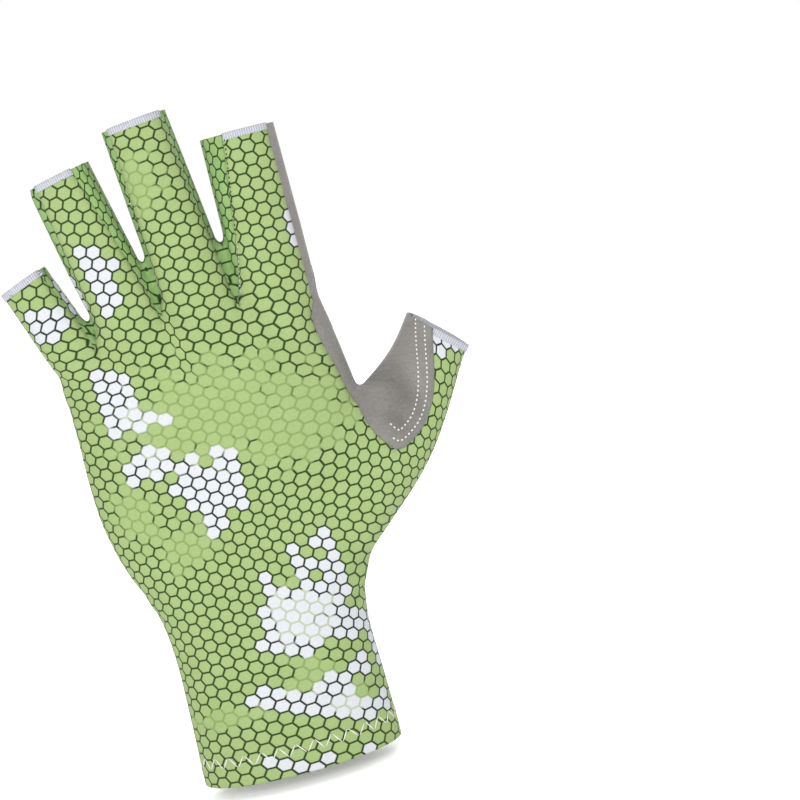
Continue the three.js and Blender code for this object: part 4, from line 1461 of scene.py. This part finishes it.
def dashes(bm, chains, length, gap, lift, thick=THREAD):
    """A running stitch of even dashes along each chain."""
    for chain in chains:
        places, normals = evenly(chain, length + gap)
        if len(places) * (length + gap) < SHORTEST_ROW:
            continue
        for i in range(len(places) - 1):
            share = length / (length + gap)
            start = places[i] + normals[i] * lift
            end = places[i] * (1 - share) + places[i + 1] * share + normals[i] * lift
            add_stitch(bm, start, end, normals[i], thick)


def finish_stitches(bm, name, material):
    """Makes one object of all stitches of a seam."""
    bmesh.ops.recalc_face_normals(bm, faces=bm.faces)
    finish_piece(bm, name, [material])


height, depth_side = flat_places[:, 2], flat_places[:, 1]
on_palm_side = depth_side > 0.6
DASH, DASH_GAP = 1.75, 0.75
STITCH_LIFT = 0.05
ON_SUEDE = SUEDE_LIFT - STITCH_SINK + STITCH_LIFT
MOUTH_STITCH = 3.0
FINGERS_FROM = 163

grip_stitches = bmesh.new()
inset_grip = grip_shape(flat_places) - STITCH_INSET
below_fingers = on_palm_side & (height < FINGERS_FROM) & (grip_values > 0.8)
dashes(grip_stitches, level_lines(inset_grip, below_fingers), DASH, DASH_GAP, ON_SUEDE)
for finger in (MIDDLE, INDEX):
    along, aside = finger.local(flat_places)
    under_mouth = on_palm_side & (grip_values > 0.9) & (np.abs(aside) < finger.mouth_width * 0.7)
    dashes(grip_stitches, level_lines(along - finger.length + MOUTH_STITCH, under_mouth), DASH,
           DASH_GAP, SUEDE_LIFT)
finish_stitches(grip_stitches, "grip_topstitch", thread)

pad_stitches = bmesh.new()
dashes(pad_stitches, level_lines(pad_values - STITCH_INSET, on_palm_side), DASH, DASH_GAP, ON_SUEDE)
finish_stitches(pad_stitches, "thumb_pad_topstitch", thread)

# %% [markdown]
# ## Stitches on the web and beside the index finger
# The web is held by two rows of short stitches that follow its lower edge, and the seam beside the
# index finger shows its thread on both sides of the hand. Higher up on the back beside the index
# finger, dark dashes are painted seam shadow, not thread.

# %% Web and seam stitches
WEB_ROWS = (2.6, 5.4)
DOT, DOT_GAP = 0.85, 0.65
WEB_THREAD, PALM_SEAM_THREAD = 0.6, 0.4
PALM_SEAM_DASH, PALM_SEAM_GAP = 1.0, 0.5
BESIDE_SEAM, BESIDE_WEB = 0.7, 0.8
SEAM_FROM, SEAM_SHADOW_FROM = 150, 168
web_inside = inside(web_line, flat_places)
towards_thumb = (flat_places[:, 0] > 1.2 * HALF_HAND) & (web_field(flat_places) > 0.3)
web_stitches = bmesh.new()
for inset in WEB_ROWS:
    dashes(web_stitches, level_lines(web_inside - inset, towards_thumb & (depth_side < 3)), DOT,
           DOT_GAP, STITCH_LIFT, WEB_THREAD)
finish_stitches(web_stitches, "web_double_stitch", thread)

seam_stitches = bmesh.new()
beside_index = gap_fields["fourchette_middle_index"](flat_places) + BESIDE_SEAM
index_side = (flat_places[:, 0] > 19) & (depth_side < -0.6) & (height > SEAM_FROM)
low_down = height < SEAM_SHADOW_FROM
painted_shadow_dashes = bmesh.new()
dashes(seam_stitches, level_lines(beside_index, index_side & low_down), DOT, DOT_GAP, STITCH_LIFT)
# Higher up, the dashes are painted seam shadow in dark green.
dashes(painted_shadow_dashes, level_lines(beside_index, index_side & ~low_down), DOT, DOT_GAP, STITCH_LIFT)
finish_stitches(painted_shadow_dashes, "index_seam_shadow_stitch", painted_seam_shadow)
web_edge = web_field(flat_places) - BESIDE_WEB
palm_web = (depth_side > 0.6) & (height > 128) & (flat_places[:, 0] > 32)
dashes(seam_stitches, level_lines(web_edge, palm_web), PALM_SEAM_DASH, PALM_SEAM_GAP, STITCH_LIFT,
       PALM_SEAM_THREAD)
finish_stitches(seam_stitches, "index_seam_stitch", grey_thread)

# %% [markdown]
# ## Zigzag at the cuff
# A zigzag stitch stretches with the cloth, so it holds the folded cuff. Its corners lie in turn on a
# lower and an upper line round the wrist.

# %% Zigzag
ZIGZAG_LOW, ZIGZAG_HIGH, ZIGZAG_STEP = 6.2, 10.0, 2.9
ZIGZAG_LIFT, ZIGZAG_THREAD = 0.12, 0.42
zigzag = bmesh.new()
low_line = level_lines(flat_places[:, 2] - ZIGZAG_LOW)[0]
high_line = level_lines(flat_places[:, 2] - ZIGZAG_HIGH)[0]
low_places, low_normals = evenly(low_line, ZIGZAG_STEP)
high_places = np.array([high_line[0][np.argmin(np.linalg.norm(high_line[0] - p, axis=1))]
                        for p in low_places])
for i in range(len(low_places) - 1):
    lower = low_places if i % 2 == 0 else high_places
    upper = high_places if i % 2 == 0 else low_places
    lift = low_normals[i] * ZIGZAG_LIFT
    add_stitch(zigzag, lower[i] + lift, upper[i + 1] + lift, low_normals[i], ZIGZAG_THREAD)
finish_stitches(zigzag, "cuff_zigzag", thread)

# %% [markdown]
# ## Box stitch on the tab
# The strap is sewn down by two boxes of running stitch, one inside the other, that end at the hem.

# %% Box stitch
BOX_INSETS = (2.7, 5.4)
BOX_FOOT = (1.8, 4.6)
BOX_STEPS = 24
box_stitch = bmesh.new()
for inset, foot in zip(BOX_INSETS, BOX_FOOT):
    side = 1 - inset / (TAB_WIDTH / 2)
    top = 1 - inset / (TAB_LENGTH / 2)
    bottom = (foot + TAB_DROP) / (TAB_LENGTH / 2) - 1
    corners = ((-side, bottom), (-side, top), (side, top), (side, bottom), (-side, bottom))
    line = []
    for (across, up), (next_across, next_up) in zip(corners, corners[1:]):
        for share in np.linspace(0, 1, BOX_STEPS, endpoint=False):
            x, z = tab_spot(across + (next_across - across) * share, up + (next_up - up) * share)
            line.append((x, palm_depth(x, z) + TAB_LIFT, z))
    line.append(line[0])
    normals = np.tile((0.0, 1.0, 0.0), (len(line), 1))
    dashes(box_stitch, [(np.array(line), normals)], DASH, DASH_GAP, STITCH_LIFT)
finish_stitches(box_stitch, "tab_box_stitch", thread)

# %% [markdown]
# ## Studio
# The photograph has a white ground and soft light from the front and the left, so the glove stands on
# a large pale floor in a bright surround, between two soft lamps. A photographer puts grey flags to
# the left and right of a pale object, so that its edges are a little darker than its middle, and here
# the surround is dimmer there. The floor is lit from below a little, as a light table is, so that it
# stays white far from the lamps. The plain Standard view keeps the print's colours as they are.

# %% Floor and lamps
SURROUND, FLAGGED = 1.0, 0.62
FLAG_FROM, FLAG_TO = 0.45, 0.95
FLOOR_GLOW = 0.22
FLOOR_HALF = 6
LAMP_POWER, LAMP_SIZE = 9.4, 0.45
MIDDLE_OF_GLOVE = Vector((0.01, 0, 0.11))
bpy.context.scene.view_settings.view_transform = "Standard"
lowest = min(corner[2] for corner in cad_box)
floor_mesh = bmesh.new()
bmesh.ops.create_grid(floor_mesh, x_segments=2, y_segments=2, size=FLOOR_HALF)
bmesh.ops.translate(floor_mesh, vec=(0, 0, lowest), verts=floor_mesh.verts)
floor = bpy.data.objects.new("floor", mesh_of(floor_mesh, "floor"))
bpy.context.scene.collection.objects.link(floor)
paper = plain("pale paper floor", "#ffffff", 0.9)
paper_shader = paper.node_tree.nodes["Principled BSDF"]
paper_shader.inputs["Emission Color"].default_value = (1, 1, 1, 1)
paper_shader.inputs["Emission Strength"].default_value = FLOOR_GLOW
floor.data.materials.append(paper)

world = bpy.data.worlds.new("studio")
bpy.context.scene.world = world
world.use_nodes = True
background = world.node_tree.nodes["Background"]
background.inputs["Color"].default_value = (1, 1, 1, 1)
facing = add(world.node_tree, "ShaderNodeTexCoord").outputs["Generated"]
sideways = add(world.node_tree, "ShaderNodeVectorMath", {0: facing, 1: (1, 0, 0)},
               operation="DOT_PRODUCT").outputs["Value"]
flagged = add(world.node_tree, "ShaderNodeMath", {0: sideways}, operation="ABSOLUTE").outputs[0]
strength = add(world.node_tree, "ShaderNodeMapRange", {0: flagged, 1: FLAG_FROM, 2: FLAG_TO,
                                                       3: SURROUND, 4: FLAGGED}).outputs[0]
world.node_tree.links.new(strength, background.inputs["Strength"])


def lamp(name, place):
    """A square soft lamp that looks at the glove."""
    light = bpy.data.objects.new(name, bpy.data.lights.new(name, "AREA"))
    light.data.energy = LAMP_POWER
    light.data.size = LAMP_SIZE
    light.location = place
    aim = MIDDLE_OF_GLOVE - Vector(place)
    light.rotation_euler = aim.to_track_quat("-Z", "Y").to_euler()
    bpy.context.scene.collection.objects.link(light)


lamp("front_lamp", (-0.2, -1.2, 0.5))
lamp("back_lamp", (0.2, 1.2, 0.5))
